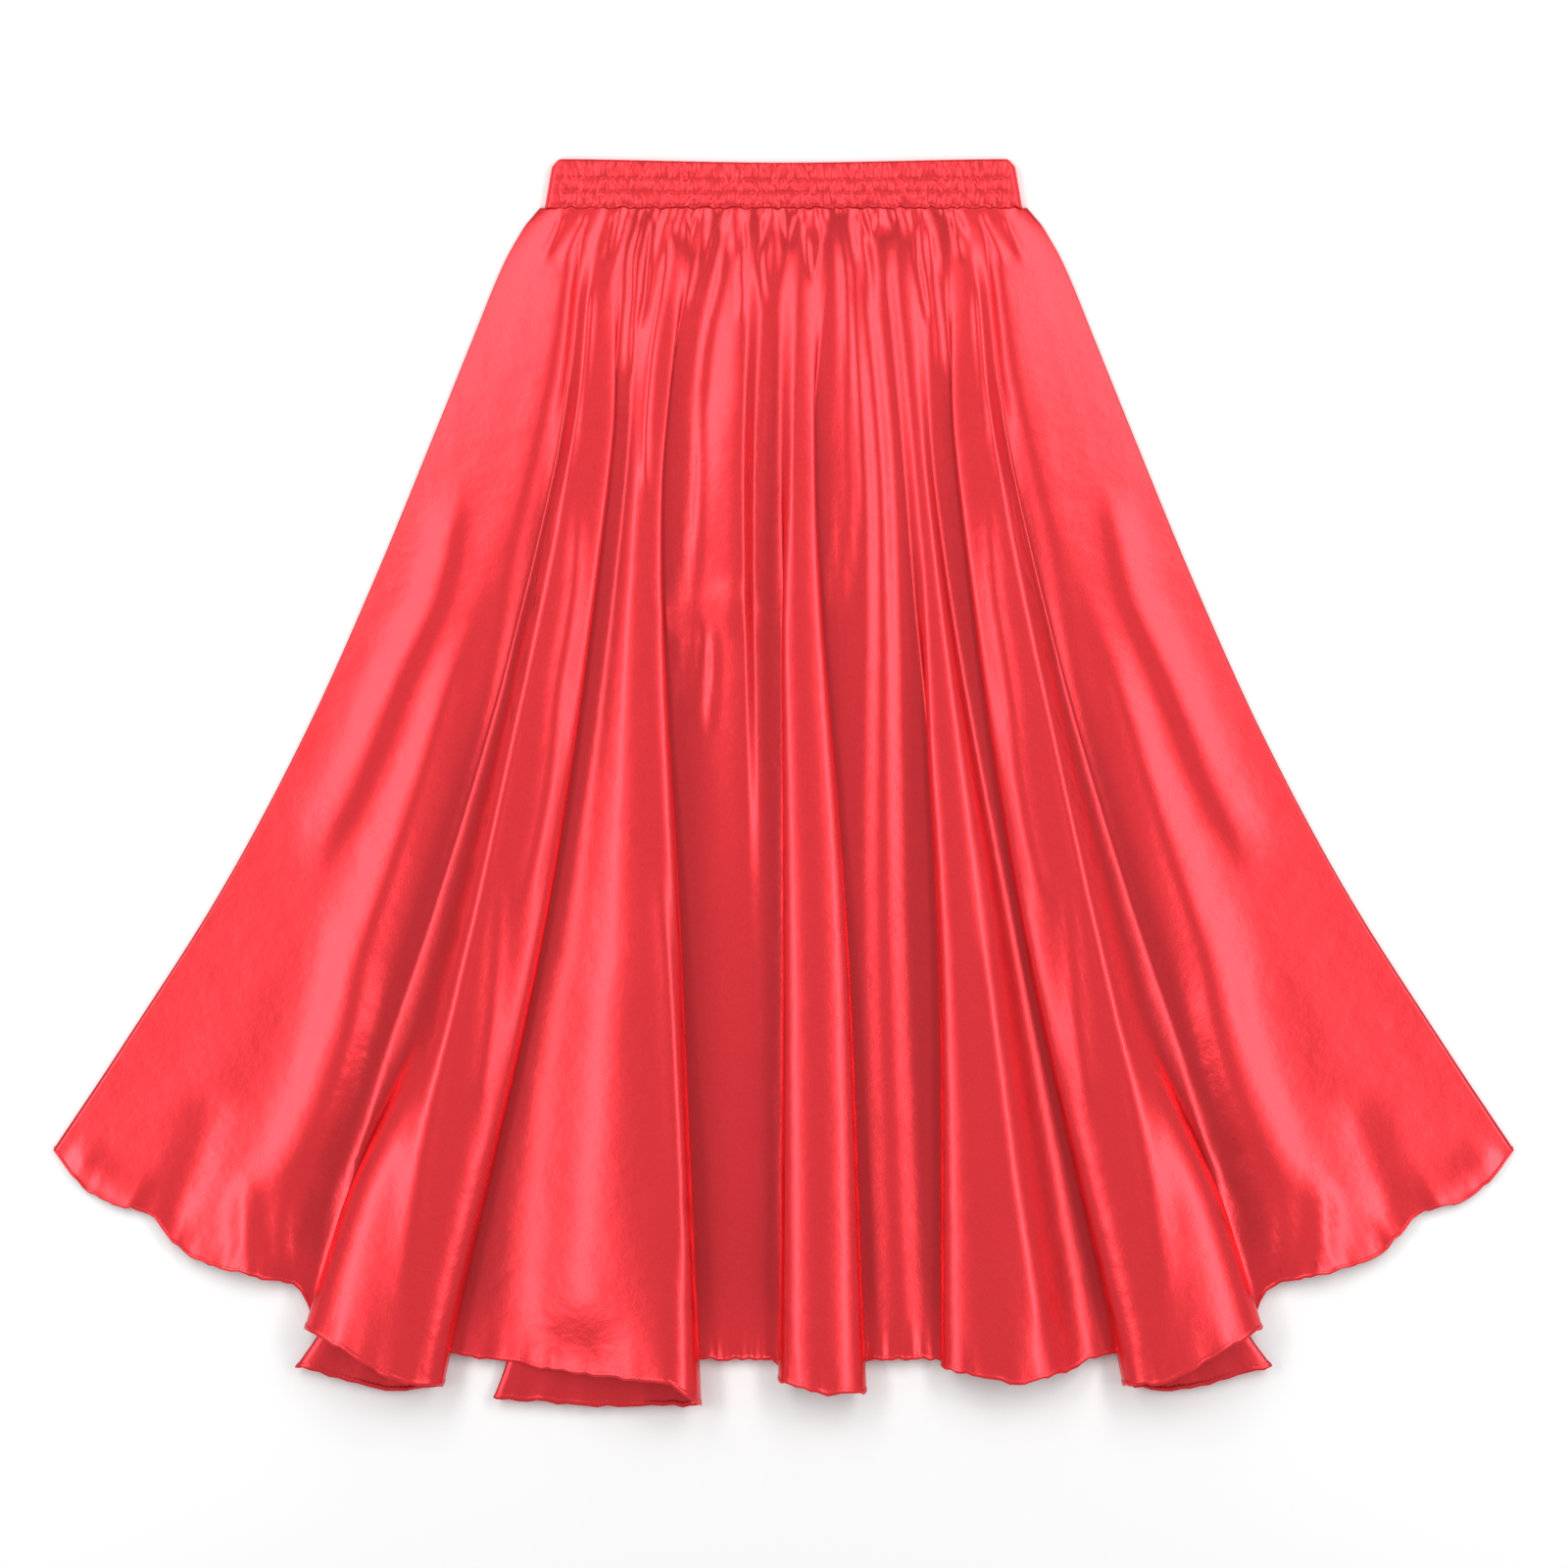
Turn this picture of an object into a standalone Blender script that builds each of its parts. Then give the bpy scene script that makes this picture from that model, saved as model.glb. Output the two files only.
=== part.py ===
"""A satin circle skirt with a shirred elastic waistband, laid out flat on a surface, front side up.

Frame: metres, +Z up. The skirt lies on z = 0 with its waist towards +Y, and the origin is the middle of
its outline on the surface. All sizes below are millimetres, and MM turns them into metres.

Each panel is a wall of cloth. Its rows run across the skirt, from side seam to side seam, and follow one
another from the waist seam down to the hem. A row is a chain of points: the wings at the two sides, the
flutes between them, and the floor that each flute stands on. A flute that is tucked folds under at its
edge, so that its cloth runs back below it to a neck, turns, and goes on along the floor.
"""

import math
from collections import namedtuple

import bpy

MM = 0.001

# Driving sizes
SKIRT_LENGTH = 752.6  # waist seam to hem, along the centre front
TOP_Y = 407.7  # the waistband's top edge, which puts the whole outline's middle at the origin
BAND_HEIGHT = 32.0
SEAM_GAP = 0.3
CLOTH = 1.2  # wall of a panel
BAND_WALL = 3.4  # casing, elastic and casing again
BAND_SLIT = 0.8  # between the band's front and back, which lie on each other
LAYER = CLOTH + 0.8  # from one layer of cloth to the next in a stack
SMALL_TURN = 0.5 * LAYER  # radius of a fold that lies flat

# Heights of the middle of the cloth above the surface. The front lies clear of the back's pleats, three
# layers deep, and comes down beside them at the sides. Both meet the band at their own seam level.
BACK_LEVEL = 0.5 * CLOTH
STACK_LEVEL = BACK_LEVEL + 2 * LAYER
FRONT_LEVEL = STACK_LEVEL + CLOTH + SEAM_GAP
SIDE_LEVEL = BACK_LEVEL + CLOTH + SEAM_GAP
FRONT_SEAM_LEVEL = 4.7
BACK_SEAM_LEVEL = 1.3

# The skirt's side edge: half its width at each distance below the waist seam
Side = namedtuple("Side", "down half_width")
SIDE_LINE = (
    Side(0, 159),
    Side(6, 164),
    Side(12, 169),
    Side(37, 183),
    Side(88, 204),
    Side(140, 225),
    Side(242, 267),
    Side(344, 313),
    Side(447, 368),
    Side(549, 433),
    Side(615, 477),
)

# The hem climbs towards the side tips: its rise at each share of the way from the centre to a tip
# (steep where the outer flutes stand, gentle across the wings).
Hem = namedtuple("Hem", "share rise")
HEM_LINE = (
    Hem(0, 0),
    Hem(0.30, 1),
    Hem(0.46, 5),
    Hem(0.65, 47),
    Hem(0.72, 54),
    Hem(0.81, 67),
    Hem(0.845, 82),
    Hem(0.865, 94),
    Hem(0.885, 98),
    Hem(0.926, 103),
    Hem(0.966, 116),
    Hem(1, 137),
)

# The front's flutes from left to right. Each has a value at each of STATIONS, which are distances below
# the waist seam, for left and right (its edges) and height. crest is the ridge's place between the edges,
# from -1 to 1. The rest hold one value for the left side and one for the right: edges is the side's shape,
# fold_from how far down it starts to fold under, tuck how far its cloth runs back under the edge at the
# hem, and slip how much further that inner fold swings out just at the hem. lip is how far the hem reaches
# below the hem line at the left edge, the crest and the right edge, and inner_lip the same for each side's
# inner fold: at its neck, and halfway from there to the edge.
STATIONS = (0, 182, 470, 758)
Flute = namedtuple("Flute", "name left right height crest edges fold_from tuck slip lip inner_lip")
FLUTES = (
    Flute(
        "left_box",
        left=(-129, -151, -224, -315),
        right=(-102, -114, -155, -222),
        height=(3, 8, 18, 27),
        crest=0.1,
        edges=("tucked", "tucked"),
        fold_from=(430, 150),
        tuck=(6, 98),
        slip=(0, 26),
        lip=(27, 32, 21),
        inner_lip=((20, 24), (54, 44)),
    ),
    Flute(
        "left_knife",
        left=(-97, -103, -140, -199),
        right=(-55, -79, -67, -53),
        height=(3, 7, 15, 26),
        crest=0.35,
        edges=("soft", "tucked"),
        fold_from=(0, 150),
        tuck=(0, 131),
        slip=(0, 12),
        lip=(3, 15, 30),
        inner_lip=((0, 0), (26, 31)),
    ),
    Flute(
        "puff",
        left=(-48, -57, -50, -45),
        right=(-10, -21, -15, -16),
        height=(3, 10, 3, 1),
        crest=0.0,
        edges=("soft", "soft"),
        fold_from=(0, 0),
        tuck=(0, 0),
        slip=(0, 0),
        lip=(0, 0, 0),
        inner_lip=((0, 0), (0, 0)),
    ),
    Flute(
        "centre",
        left=(-4, -2, -1, -4),
        right=(31, 21, 42, 55),
        height=(3, 10, 16, 22),
        crest=0.0,
        edges=("tucked", "tucked"),
        fold_from=(300, 180),
        tuck=(5, 22),
        slip=(0, 0),
        lip=(13, 22, 21),
        inner_lip=((6, 11), (12, 17)),
    ),
    Flute(
        "slim",
        left=(36, 53, 54, 66),
        right=(57, 73, 74, 88),
        height=(2, 6, 6, 6),
        crest=0.0,
        edges=("soft", "soft"),
        fold_from=(0, 0),
        tuck=(0, 0),
        slip=(0, 0),
        lip=(0, 0, 0),
        inner_lip=((0, 0), (0, 0)),
    ),
    Flute(
        "right_soft",
        left=(62, 80, 100, 102),
        right=(94, 99, 146, 202),
        height=(3, 8, 13, 18),
        crest=-0.05,
        edges=("tucked", "soft"),
        fold_from=(380, 0),
        tuck=(5, 0),
        slip=(0, 0),
        lip=(5, 17, 3),
        inner_lip=((1, 3), (0, 0)),
    ),
    Flute(
        "right_box",
        left=(102, 114, 155, 222),
        right=(129, 151, 224, 315),
        height=(3, 8, 18, 27),
        crest=-0.1,
        edges=("tucked", "tucked"),
        fold_from=(150, 430),
        tuck=(98, 6),
        slip=(26, 0),
        lip=(21, 32, 27),
        inner_lip=((54, 44), (20, 24)),
    ),
)

# A flute's side, from its foot to just below its crest. A soft side is a cosine bell. A tucked side turns
# from that bell into a folded edge. The shares run from the crest, 0, to the edge, 1.
SOFT_FOOT, TUCKED_FOOT = 1.13, 1.03
Turn = namedtuple("Turn", "share rise")
TUCKED_EDGE = (Turn(0.96, 0.03), Turn(1.0, 0.24), Turn(0.84, 0.66), Turn(0.46, 0.93))
SOFT_POINTS, TUCKED_POINTS = 5, 5 + len(TUCKED_EDGE)
FOLD_FADE = 0.5  # a side turns from its bell into its fold over this share of the way to the fold's start
FOLD_MIDDLE = 0.55  # where an inner fold has its middle point, from its neck to the edge
LEAST_TUCK = 3
TUCK_INSIDE = 20  # an inner fold stays this far inside its flute's other edge
LIP_FULL = 0.25  # a soft side has its whole lip from this share of its height up

# A wing lies between the side edge and the first flute: its lift above the front's level, halfway down and
# at the hem, at each share of the way from the one to the other.
Wing = namedtuple("Wing", "share lift_mid lift_hem")
WINGS = (
    Wing(0.05, -2.2, -2.4),
    Wing(0.13, 0.2, 1.0),
    Wing(0.22, 1.4, 4.0),
    Wing(0.33, 1.8, 3.0),
    Wing(0.40, 1.8, 1.0),
    Wing(0.46, 1.9, -0.4),
    Wing(0.57, 2.4, 3.0),
    Wing(0.72, 3.6, 7.0),
    Wing(0.88, 1.8, 2.4),
)

# The back's knife pleats, which lie flat inside it: their edge at each of STATIONS, and their hem depth
Pleat = namedtuple("Pleat", "name edge depth")
PLEATS = (
    Pleat("outer_left", (-104, -128, -200, -262), 92),
    Pleat("inner_left", (-52, -64, -92, -128), 88),
    Pleat("middle", (10, 14, 22, 22), 94),
    Pleat("inner_right", (70, 88, 128, 170), 90),
    Pleat("outer_right", (124, 158, 250, 330), 92),
)
PLEAT_LEVELS = (0, 0, 0.5, 0.95, 1.05, 1.5, 2, 2, 0)  # a pleat's points: how many layers up each lies
PLEAT_RUN_OUT = 12  # where a pleat's top layer comes down to the surface, past its edge
PLEAT_OVER = 1  # how far the top layer reaches past the edge before it comes down
PLEAT_STAND, PLEAT_START = 60, 100  # how far down a pleat starts to stand up, and then to fold
BACK_WING_STEPS = 4
BACK_SHORTER = 5  # the back's hem stays this far inside the front's

# Gathers at the waist seam
GATHER_COLUMNS = 4  # points to a gather
GATHER_RISE = 0.28  # a gather's height, as a share of its width
FRONT_GATHER_MOST, BACK_GATHER_MOST = 3.2, 0.8
GATHER_REACH = 60  # how far down the flutes take their full shape
GATHER_SHORT, GATHER_LONG = 45, 125  # gathers run out between these distances down
GATHER_BEAT = 1.7  # radians from one gather to the next, in the wave that their lengths follow

# The waistband. The elastic shirs its front into puckers, in the channels between its rows of stitching.
BAND_CHANNELS = (12.5, 21.4, 30.7)  # the rows of stitching, below the top edge
BAND_PUCKERS = 38  # in each channel
BAND_PUCKER_LIFT = 1.1
BAND_STITCHED = (-0.3, 0.05)  # the same shares of that lift in a row of stitching, at a trough and a crest
BAND_PUCKER_FADE = 3  # points over which the puckers flatten towards the ends
BAND_END_STEPS, BAND_BACK_STEPS = 5, 12
BAND_TOP_HALF, BAND_BOTTOM_HALF = 150.5, 156.0
BAND_TOP_DIP = 2.4
BAND_CORNER = 6.0

FRONT_ROWS, BACK_ROWS = 20, 14
ROW_CROWDING = 1.3  # above 1, the rows lie closer together at the waist
LIP_POWER, SLIP_POWER = 6, 14  # how late towards the hem a lip and a slip come in
LEVEL_WITHIN = 0.001

SATIN_RED = (0.956, 0.043, 0.052, 1)
SATIN_ROUGHNESS = 0.36
SHARP_ANGLE = math.radians(50)


def smooth(share):
    """0 to 1 with a soft start and end."""
    share = min(1.0, max(0.0, share))
    return share * share * (3 - 2 * share)


def through(places, values, at):
    """A smooth curve through the values at those places, read at one place."""
    at = min(places[-1], max(places[0], at))
    last = len(places) - 1
    i = next(k for k in range(last) if at <= places[k + 1])

    def slope(k):
        low, high = max(0, k - 1), min(last, k + 1)
        return (values[high] - values[low]) / (places[high] - places[low])

    step = places[i + 1] - places[i]
    s = (at - places[i]) / step
    start, end = values[i], values[i + 1]
    rise_start, rise_end = slope(i) * step, slope(i + 1) * step
    return (
        start * (1 + 2 * s) * (1 - s) ** 2
        + end * s * s * (3 - 2 * s)
        + rise_start * s * (1 - s) ** 2
        - rise_end * s * s * (1 - s)
    )


def hem_rise(share):
    return through([h.share for h in HEM_LINE], [h.rise for h in HEM_LINE], abs(share))


def side_half_width(t):
    """Half the skirt's width in the row at t, which is 0 at the waist seam and 1 at the hem."""
    down = SKIRT_LENGTH * t - HEM_LINE[-1].rise * t * t
    return through([s.down for s in SIDE_LINE], [s.half_width for s in SIDE_LINE], down)


def place(x, z, lip, t):
    """A point of a row in metres: x and z as they are, and y from its distance down the skirt."""
    share = min(1.0, abs(x) / side_half_width(t))
    down = SKIRT_LENGTH * t - hem_rise(share) * t * t + lip * t**LIP_POWER
    return (x * MM, (TOP_Y - BAND_HEIGHT - SEAM_GAP - down) * MM, z * MM)


def at_stations(values, down):
    return through(STATIONS, values, down)


def flute_side(flute, down, index):
    """The points (x, z, lip) of a flute's left (0) or right (1) side, from its foot to its crest."""
    left, right, height = (at_stations(v, down) for v in (flute.left, flute.right, flute.height))
    side = 2 * index - 1
    edge = (left, right)[index]
    crest = 0.5 * (left + right) + 0.5 * flute.crest * (right - left)
    reach = edge - crest
    edge_lip, crest_lip = flute.lip[2 * index], flute.lip[1]
    kind = flute.edges[index]

    def at(share, rise, base=0.0):
        lip = edge_lip + (crest_lip - edge_lip) * (1 - min(1.0, share))
        return (crest + share * reach, base + rise * (height - base), lip)

    count = TUCKED_POINTS if kind == "tucked" else SOFT_POINTS
    shares = [SOFT_FOOT * (1 - i / count) for i in range(count)]
    soft = [at(a, 0.5 + 0.5 * math.cos(math.pi * a / SOFT_FOOT)) for a in shares]
    soft = [(x, z, lip * smooth(z / (LIP_FULL * height))) for x, z, lip in soft]
    if kind == "soft":
        return soft
    start = flute.fold_from[index]
    way = max(0.0, down - start) / (SKIRT_LENGTH - start)
    tuck = max(LEAST_TUCK, min(flute.tuck[index] * way, right - left - TUCK_INSIDE))
    tuck += flute.slip[index] * way**SLIP_POWER
    neck = edge - side * tuck
    neck_lip, middle_lip = flute.inner_lip[index]
    inner_end = crest + TUCKED_EDGE[0].share * reach
    tucked = [
        (crest + TUCKED_FOOT * reach, 0.0, 0.0),
        (neck, 0.0, neck_lip),
        (neck - side * SMALL_TURN, SMALL_TURN, neck_lip),
        (neck, LAYER, neck_lip),
        (neck + FOLD_MIDDLE * (inner_end - neck), LAYER, middle_lip),
    ]
    tucked += [at(turn.share, turn.rise, base=LAYER) for turn in TUCKED_EDGE]
    folded = smooth(1 + (down - start) / (FOLD_FADE * start))
    return [tuple(p + (q - p) * folded for p, q in zip(*pair)) for pair in zip(soft, tucked)]


def flute_points(flute, down):
    """A flute's points. Above GATHER_REACH they draw together, until they stand evenly apart at the seam."""
    left, right, height = (at_stations(v, down) for v in (flute.left, flute.right, flute.height))
    crest = (0.5 * (left + right) + 0.5 * flute.crest * (right - left), height, flute.lip[1])
    points = [*flute_side(flute, down, 0), crest, *reversed(flute_side(flute, down, 1))]
    spread = smooth(down / GATHER_REACH)
    step = (right - left) / (len(points) - 1)
    even = [left + step * j for j in range(len(points))]
    return [(a + (x - a) * spread, z, lip) for a, (x, z, lip) in zip(even, points)]


def wing_points(side_edge, flute_edge, t):
    """The points from the side edge to the first flute, above FRONT_LEVEL."""
    points = [(side_edge, SIDE_LEVEL - FRONT_LEVEL, 0.0)]
    for wing in WINGS:
        lift = wing.lift_mid + (wing.lift_hem - wing.lift_mid) * t * t
        points.append((side_edge + wing.share * (flute_edge - side_edge), lift, 0.0))
    return points


def front_row(t):
    """The front panel's row at t as (x, z, lip), from the left side edge to the right one."""
    down = SKIRT_LENGTH * t
    half = side_half_width(t)
    left_edge = at_stations(FLUTES[0].left, down)
    right_edge = at_stations(FLUTES[-1].right, down)
    row = wing_points(-half, left_edge, t)
    for flute in FLUTES:
        row += flute_points(flute, down)
    row += reversed(wing_points(half, right_edge, t))
    return [(x, FRONT_LEVEL + z, lip) for x, z, lip in row]


def pleat_points(pleat, down):
    """A knife pleat of the back: along the surface to its edge, back on a second layer, on again on a third.

    Above PLEAT_START it is a low standing ridge, with its points evenly apart.
    """
    edge = at_stations(pleat.edge, down)
    depth = pleat.depth * max(0.0, down - PLEAT_START) / (SKIRT_LENGTH - PLEAT_START)
    turn = min(SMALL_TURN, depth / 4)
    to_edge = [-depth - PLEAT_RUN_OUT, -turn, 0]
    folded = [*to_edge, -turn, turn - depth, -depth, turn - depth, PLEAT_OVER, PLEAT_RUN_OUT]
    middle = len(PLEAT_LEVELS) // 2
    standing = [PLEAT_RUN_OUT * (k / middle - 1) for k in range(len(PLEAT_LEVELS))]
    lying = smooth((down - PLEAT_STAND) / (PLEAT_START - PLEAT_STAND))
    places = [edge + a + (b - a) * lying for a, b in zip(standing, folded)]
    return [(x, BACK_LEVEL + LAYER * level, 0.0) for x, level in zip(places, PLEAT_LEVELS)]


def back_row(t):
    down = SKIRT_LENGTH * t
    half = side_half_width(t)
    pleats = [pleat_points(pleat, down) for pleat in PLEATS]
    left, right = pleats[0][0][0], pleats[-1][-1][0]
    shares = [k / BACK_WING_STEPS for k in range(BACK_WING_STEPS)]
    row = [(-half + share * (half + left), BACK_LEVEL, 0.0) for share in shares]
    for points in pleats:
        row += points
    row += [(half - share * (half - right), BACK_LEVEL, 0.0) for share in reversed(shares)]
    return row


def gathered(row, t, seam_level, most_lift):
    """The row drawn up to the waist seam: its points come to the seam's level and ripple in gathers."""
    down = SKIRT_LENGTH * t
    spread = smooth(down / GATHER_REACH)
    last = len(row) - 1
    reach = GATHER_COLUMNS // 2
    made = []
    for j, (x, z, lip) in enumerate(row):
        inward = smooth(min(j, last - j) / len(WINGS))
        level = z + (seam_level - z) * inward * (1 - spread)
        number = j // GATHER_COLUMNS
        length = GATHER_SHORT + (GATHER_LONG - GATHER_SHORT) * abs(math.sin(GATHER_BEAT * number))
        width = row[min(last, j + reach)][0] - row[max(0, j - reach)][0]
        height = min(most_lift, GATHER_RISE * max(0.0, width)) * (1 - smooth(down / length)) * inward
        wave = 0.5 + 0.5 * math.sin(2 * math.pi * j / GATHER_COLUMNS)
        made.append((x, level + height * wave, lip))
    return made


def row_shares(count):
    return [(i / count) ** ROW_CROWDING for i in range(count + 1)]


def offset_row(row, distance):
    """The row moved along its own normals, in its own upright plane. What is level stays level."""
    last = len(row) - 1
    moved = []
    for j, (x, z, lip) in enumerate(row):
        before, after = row[max(0, j - 1)], row[min(last, j + 1)]
        if 0 < j and abs(z - before[1]) < LEVEL_WITHIN:
            after = (x, z)
        elif j < last and abs(after[1] - z) < LEVEL_WITHIN:
            before = (x, z)
        dx, dz = after[0] - before[0], after[1] - before[1]
        length = math.hypot(dx, dz)
        moved.append((x - dz / length * distance, z + dx / length * distance, lip))
    return moved


def satin(name):
    material = bpy.data.materials.new(name)
    material.use_nodes = True
    shader = material.node_tree.nodes["Principled BSDF"]
    shader.inputs["Base Color"].default_value = SATIN_RED
    shader.inputs["Roughness"].default_value = SATIN_ROUGHNESS
    shader.inputs["Metallic"].default_value = 0.0
    shader.inputs["Anisotropic"].default_value = 0.5
    return material


def solid_from_grids(name, outer, inner, ring):
    """One closed solid between two grids of points. In a ring, each row closes on itself."""
    rows, columns = len(outer), len(outer[0])
    points = [p for grid in (outer, inner) for row in grid for p in row]

    def corner(layer, i, j):
        return (layer * rows + i) * columns + j % columns

    faces = []
    steps = columns if ring else columns - 1
    for i in range(rows - 1):
        for j in range(steps):
            faces.append([corner(0, i + a, j + b) for a, b in ((0, 0), (1, 0), (1, 1), (0, 1))])
            faces.append([corner(1, i + a, j + b) for a, b in ((0, 0), (0, 1), (1, 1), (1, 0))])
    for j in range(steps):
        faces.append([corner(0, 0, j), corner(0, 0, j + 1), corner(1, 0, j + 1), corner(1, 0, j)])
        end = rows - 1
        faces.append([corner(0, end, j + 1), corner(0, end, j), corner(1, end, j), corner(1, end, j + 1)])
    if not ring:
        end = columns - 1
        for i in range(rows - 1):
            faces.append([corner(0, i + 1, 0), corner(0, i, 0), corner(1, i, 0), corner(1, i + 1, 0)])
            faces.append([corner(0, i, end), corner(0, i + 1, end), corner(1, i + 1, end), corner(1, i, end)])
    mesh = bpy.data.meshes.new(name)
    mesh.from_pydata(points, [], faces)
    mesh.validate()
    mesh.shade_smooth()
    mesh.set_sharp_from_angle(angle=SHARP_ANGLE)
    mesh.materials.append(satin(name + "_satin"))
    obj = bpy.data.objects.new(name, mesh)
    bpy.context.scene.collection.objects.link(obj)
    return obj


def panel(name, row_at, row_count, seam_level, most_lift, hem_inset):
    """A panel's wall, half its cloth's thickness to either side of its rows."""
    outer, inner = [], []
    for t in row_shares(row_count):
        row = [(x, z, lip - hem_inset) for x, z, lip in row_at(t)]
        row = gathered(row, t, seam_level, most_lift)
        outer.append([place(*p, t) for p in offset_row(row, 0.5 * CLOTH)])
        inner.append([place(*p, t) for p in offset_row(row, -0.5 * CLOTH)])
    return solid_from_grids(name, outer, inner, ring=False)


def band_loop(half, back, front, lift_at):
    """Points (x, z) round a flattened loop from the height back to the height front, lifted on its front."""
    radius = 0.5 * (front - back)
    middle = 0.5 * (front + back)
    straight = half - radius
    points = []
    for side, count in ((1, 2 * BAND_PUCKERS), (-1, BAND_BACK_STEPS)):
        for j in range(count + 1):
            lift = lift_at(j) * smooth(min(j, count - j) / BAND_PUCKER_FADE) if side > 0 else 0.0
            points.append((side * straight * (2 * j / count - 1), middle + side * radius + lift))
        for j in range(1, BAND_END_STEPS):
            turn = math.pi * j / BAND_END_STEPS
            x = straight + radius * math.sin(turn)
            points.append((side * x, middle + side * radius * math.cos(turn)))
    return points


def band_half_width(down):
    """Half the band's width: it widens a little towards the seam, and its top corners are round."""
    widened = BAND_TOP_HALF + (BAND_BOTTOM_HALF - BAND_TOP_HALF) * down / BAND_HEIGHT
    return widened - BAND_CORNER * (1 - smooth(down / (2 * BAND_CORNER)))


def band_place(x, z, down):
    """A point of the band in metres. Its top edge dips a little towards the middle."""
    dip = BAND_TOP_DIP * (1 - smooth(abs(x) / BAND_BOTTOM_HALF)) * (1 - down / BAND_HEIGHT)
    return (x * MM, (TOP_Y - down - dip) * MM, z * MM)


def waistband():
    """The band, from its top edge down, in pairs of rings: the middle of a channel, then its stitching."""
    edges = (0.0, *BAND_CHANNELS[:-1], BAND_HEIGHT)
    downs = [0.0]
    for low, high in zip(edges, edges[1:]):
        downs += [0.5 * (low + high), high]
    thickness = 2 * BAND_WALL + BAND_SLIT
    outer, inner = [], []
    for i, down in enumerate(downs):
        channel, puffed = divmod(i, 2)
        shares = (0, 1) if puffed else BAND_STITCHED

        def lift_at(j, channel=channel, shares=shares):
            return BAND_PUCKER_LIFT * shares[(j + channel) % 2]

        half = band_half_width(down)
        out = band_loop(half, 0.0, thickness, lift_at)
        within = band_loop(half - BAND_WALL, BAND_WALL, BAND_WALL + BAND_SLIT, lambda j: 0.0)
        outer.append([band_place(x, z, down) for x, z in out])
        inner.append([band_place(x, z, down) for x, z in within])
    return solid_from_grids("waistband", outer, inner, ring=True)


def main():
    for obj in list(bpy.data.objects):
        bpy.data.objects.remove(obj)
    panel("skirt_front", front_row, FRONT_ROWS, FRONT_SEAM_LEVEL, FRONT_GATHER_MOST, 0.0)
    panel("skirt_back", back_row, BACK_ROWS, BACK_SEAM_LEVEL, BACK_GATHER_MOST, BACK_SHORTER)
    waistband()


main()
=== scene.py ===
"""The looks of a satin circle skirt, laid flat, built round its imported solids.

Lengths are metres in Blender and millimetres in the tables, which MM turns into metres. +Y runs from the
hem to the waist, and the skirt lies on z = 0. Each panel is a grid of points: its rows cross the skirt and
follow one another from the waist seam to the hem. The grid takes the panel's folds, then its creases, and
becomes a thin shell of satin with a rolled hem. The waistband is a casing shirred over wide elastic, and
geometry nodes lay the stitches.
"""

import math
from collections import namedtuple
from functools import lru_cache

import bpy
import numpy as np
from bpy.props import FloatProperty, FloatVectorProperty, IntProperty, PointerProperty
from bpy.types import Operator, Panel, PropertyGroup
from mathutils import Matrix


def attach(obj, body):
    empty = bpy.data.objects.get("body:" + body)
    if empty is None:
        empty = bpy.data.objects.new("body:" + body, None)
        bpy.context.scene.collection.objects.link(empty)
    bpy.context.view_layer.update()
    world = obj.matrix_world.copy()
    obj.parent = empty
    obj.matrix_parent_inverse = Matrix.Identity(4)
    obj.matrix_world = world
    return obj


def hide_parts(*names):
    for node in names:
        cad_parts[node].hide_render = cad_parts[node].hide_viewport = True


bl_info = {
    "name": "Circle skirt",
    "version": (1, 0, 0),
    "blender": (4, 5, 0),
    "location": "3D View > Sidebar > Skirt",
    "description": "Builds a satin circle skirt, laid flat, with a shirred elastic waistband",
    "category": "Object",
}

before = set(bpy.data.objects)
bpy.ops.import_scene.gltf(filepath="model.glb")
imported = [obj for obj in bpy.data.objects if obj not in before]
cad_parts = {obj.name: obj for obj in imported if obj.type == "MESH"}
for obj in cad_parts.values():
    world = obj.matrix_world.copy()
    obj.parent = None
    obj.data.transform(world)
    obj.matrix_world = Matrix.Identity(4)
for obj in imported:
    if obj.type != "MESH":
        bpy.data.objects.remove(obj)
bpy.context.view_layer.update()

MM = 0.001
BODY = "root"

# The laid-out skirt, and the heights of the middle of its cloth above the surface
SKIRT_LENGTH = 752.6  # waist seam to hem, along the centre front
TOP_Y = 407.7  # the waistband's top edge
BAND_HEIGHT = 32.0
SEAM_GAP = 0.05
SEAM_Y = TOP_Y - BAND_HEIGHT - SEAM_GAP
LAYER = 2.0  # from one layer of cloth to the next in a stack
SMALL_TURN = 0.5 * LAYER  # radius of a fold that lies flat
BACK_LEVEL, FRONT_LEVEL = 0.6, 6.1
BACK_SEAM_LEVEL, FRONT_SEAM_LEVEL = 1.3, 7.2

# The side edge: half the skirt's width at each distance below the waist seam
Side = namedtuple("Side", "down half_width")
SIDE_LINE = (
    Side(0, 159), Side(6, 164), Side(12, 169), Side(37, 183), Side(88, 204), Side(140, 225),
    Side(242, 267), Side(344, 313), Side(447, 368), Side(549, 433), Side(615, 477),
)
SEAM_HALF = SIDE_LINE[0].half_width

# The hem climbs towards the side tips: its rise at each share of the way from the centre to a tip
Hem = namedtuple("Hem", "share rise")
HEM_LINE = (
    Hem(0, 0), Hem(0.30, 1), Hem(0.46, 5), Hem(0.65, 47), Hem(0.72, 54), Hem(0.81, 67),
    Hem(0.845, 82), Hem(0.865, 94), Hem(0.885, 98), Hem(0.926, 103), Hem(0.966, 116), Hem(1, 137),
)

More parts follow.
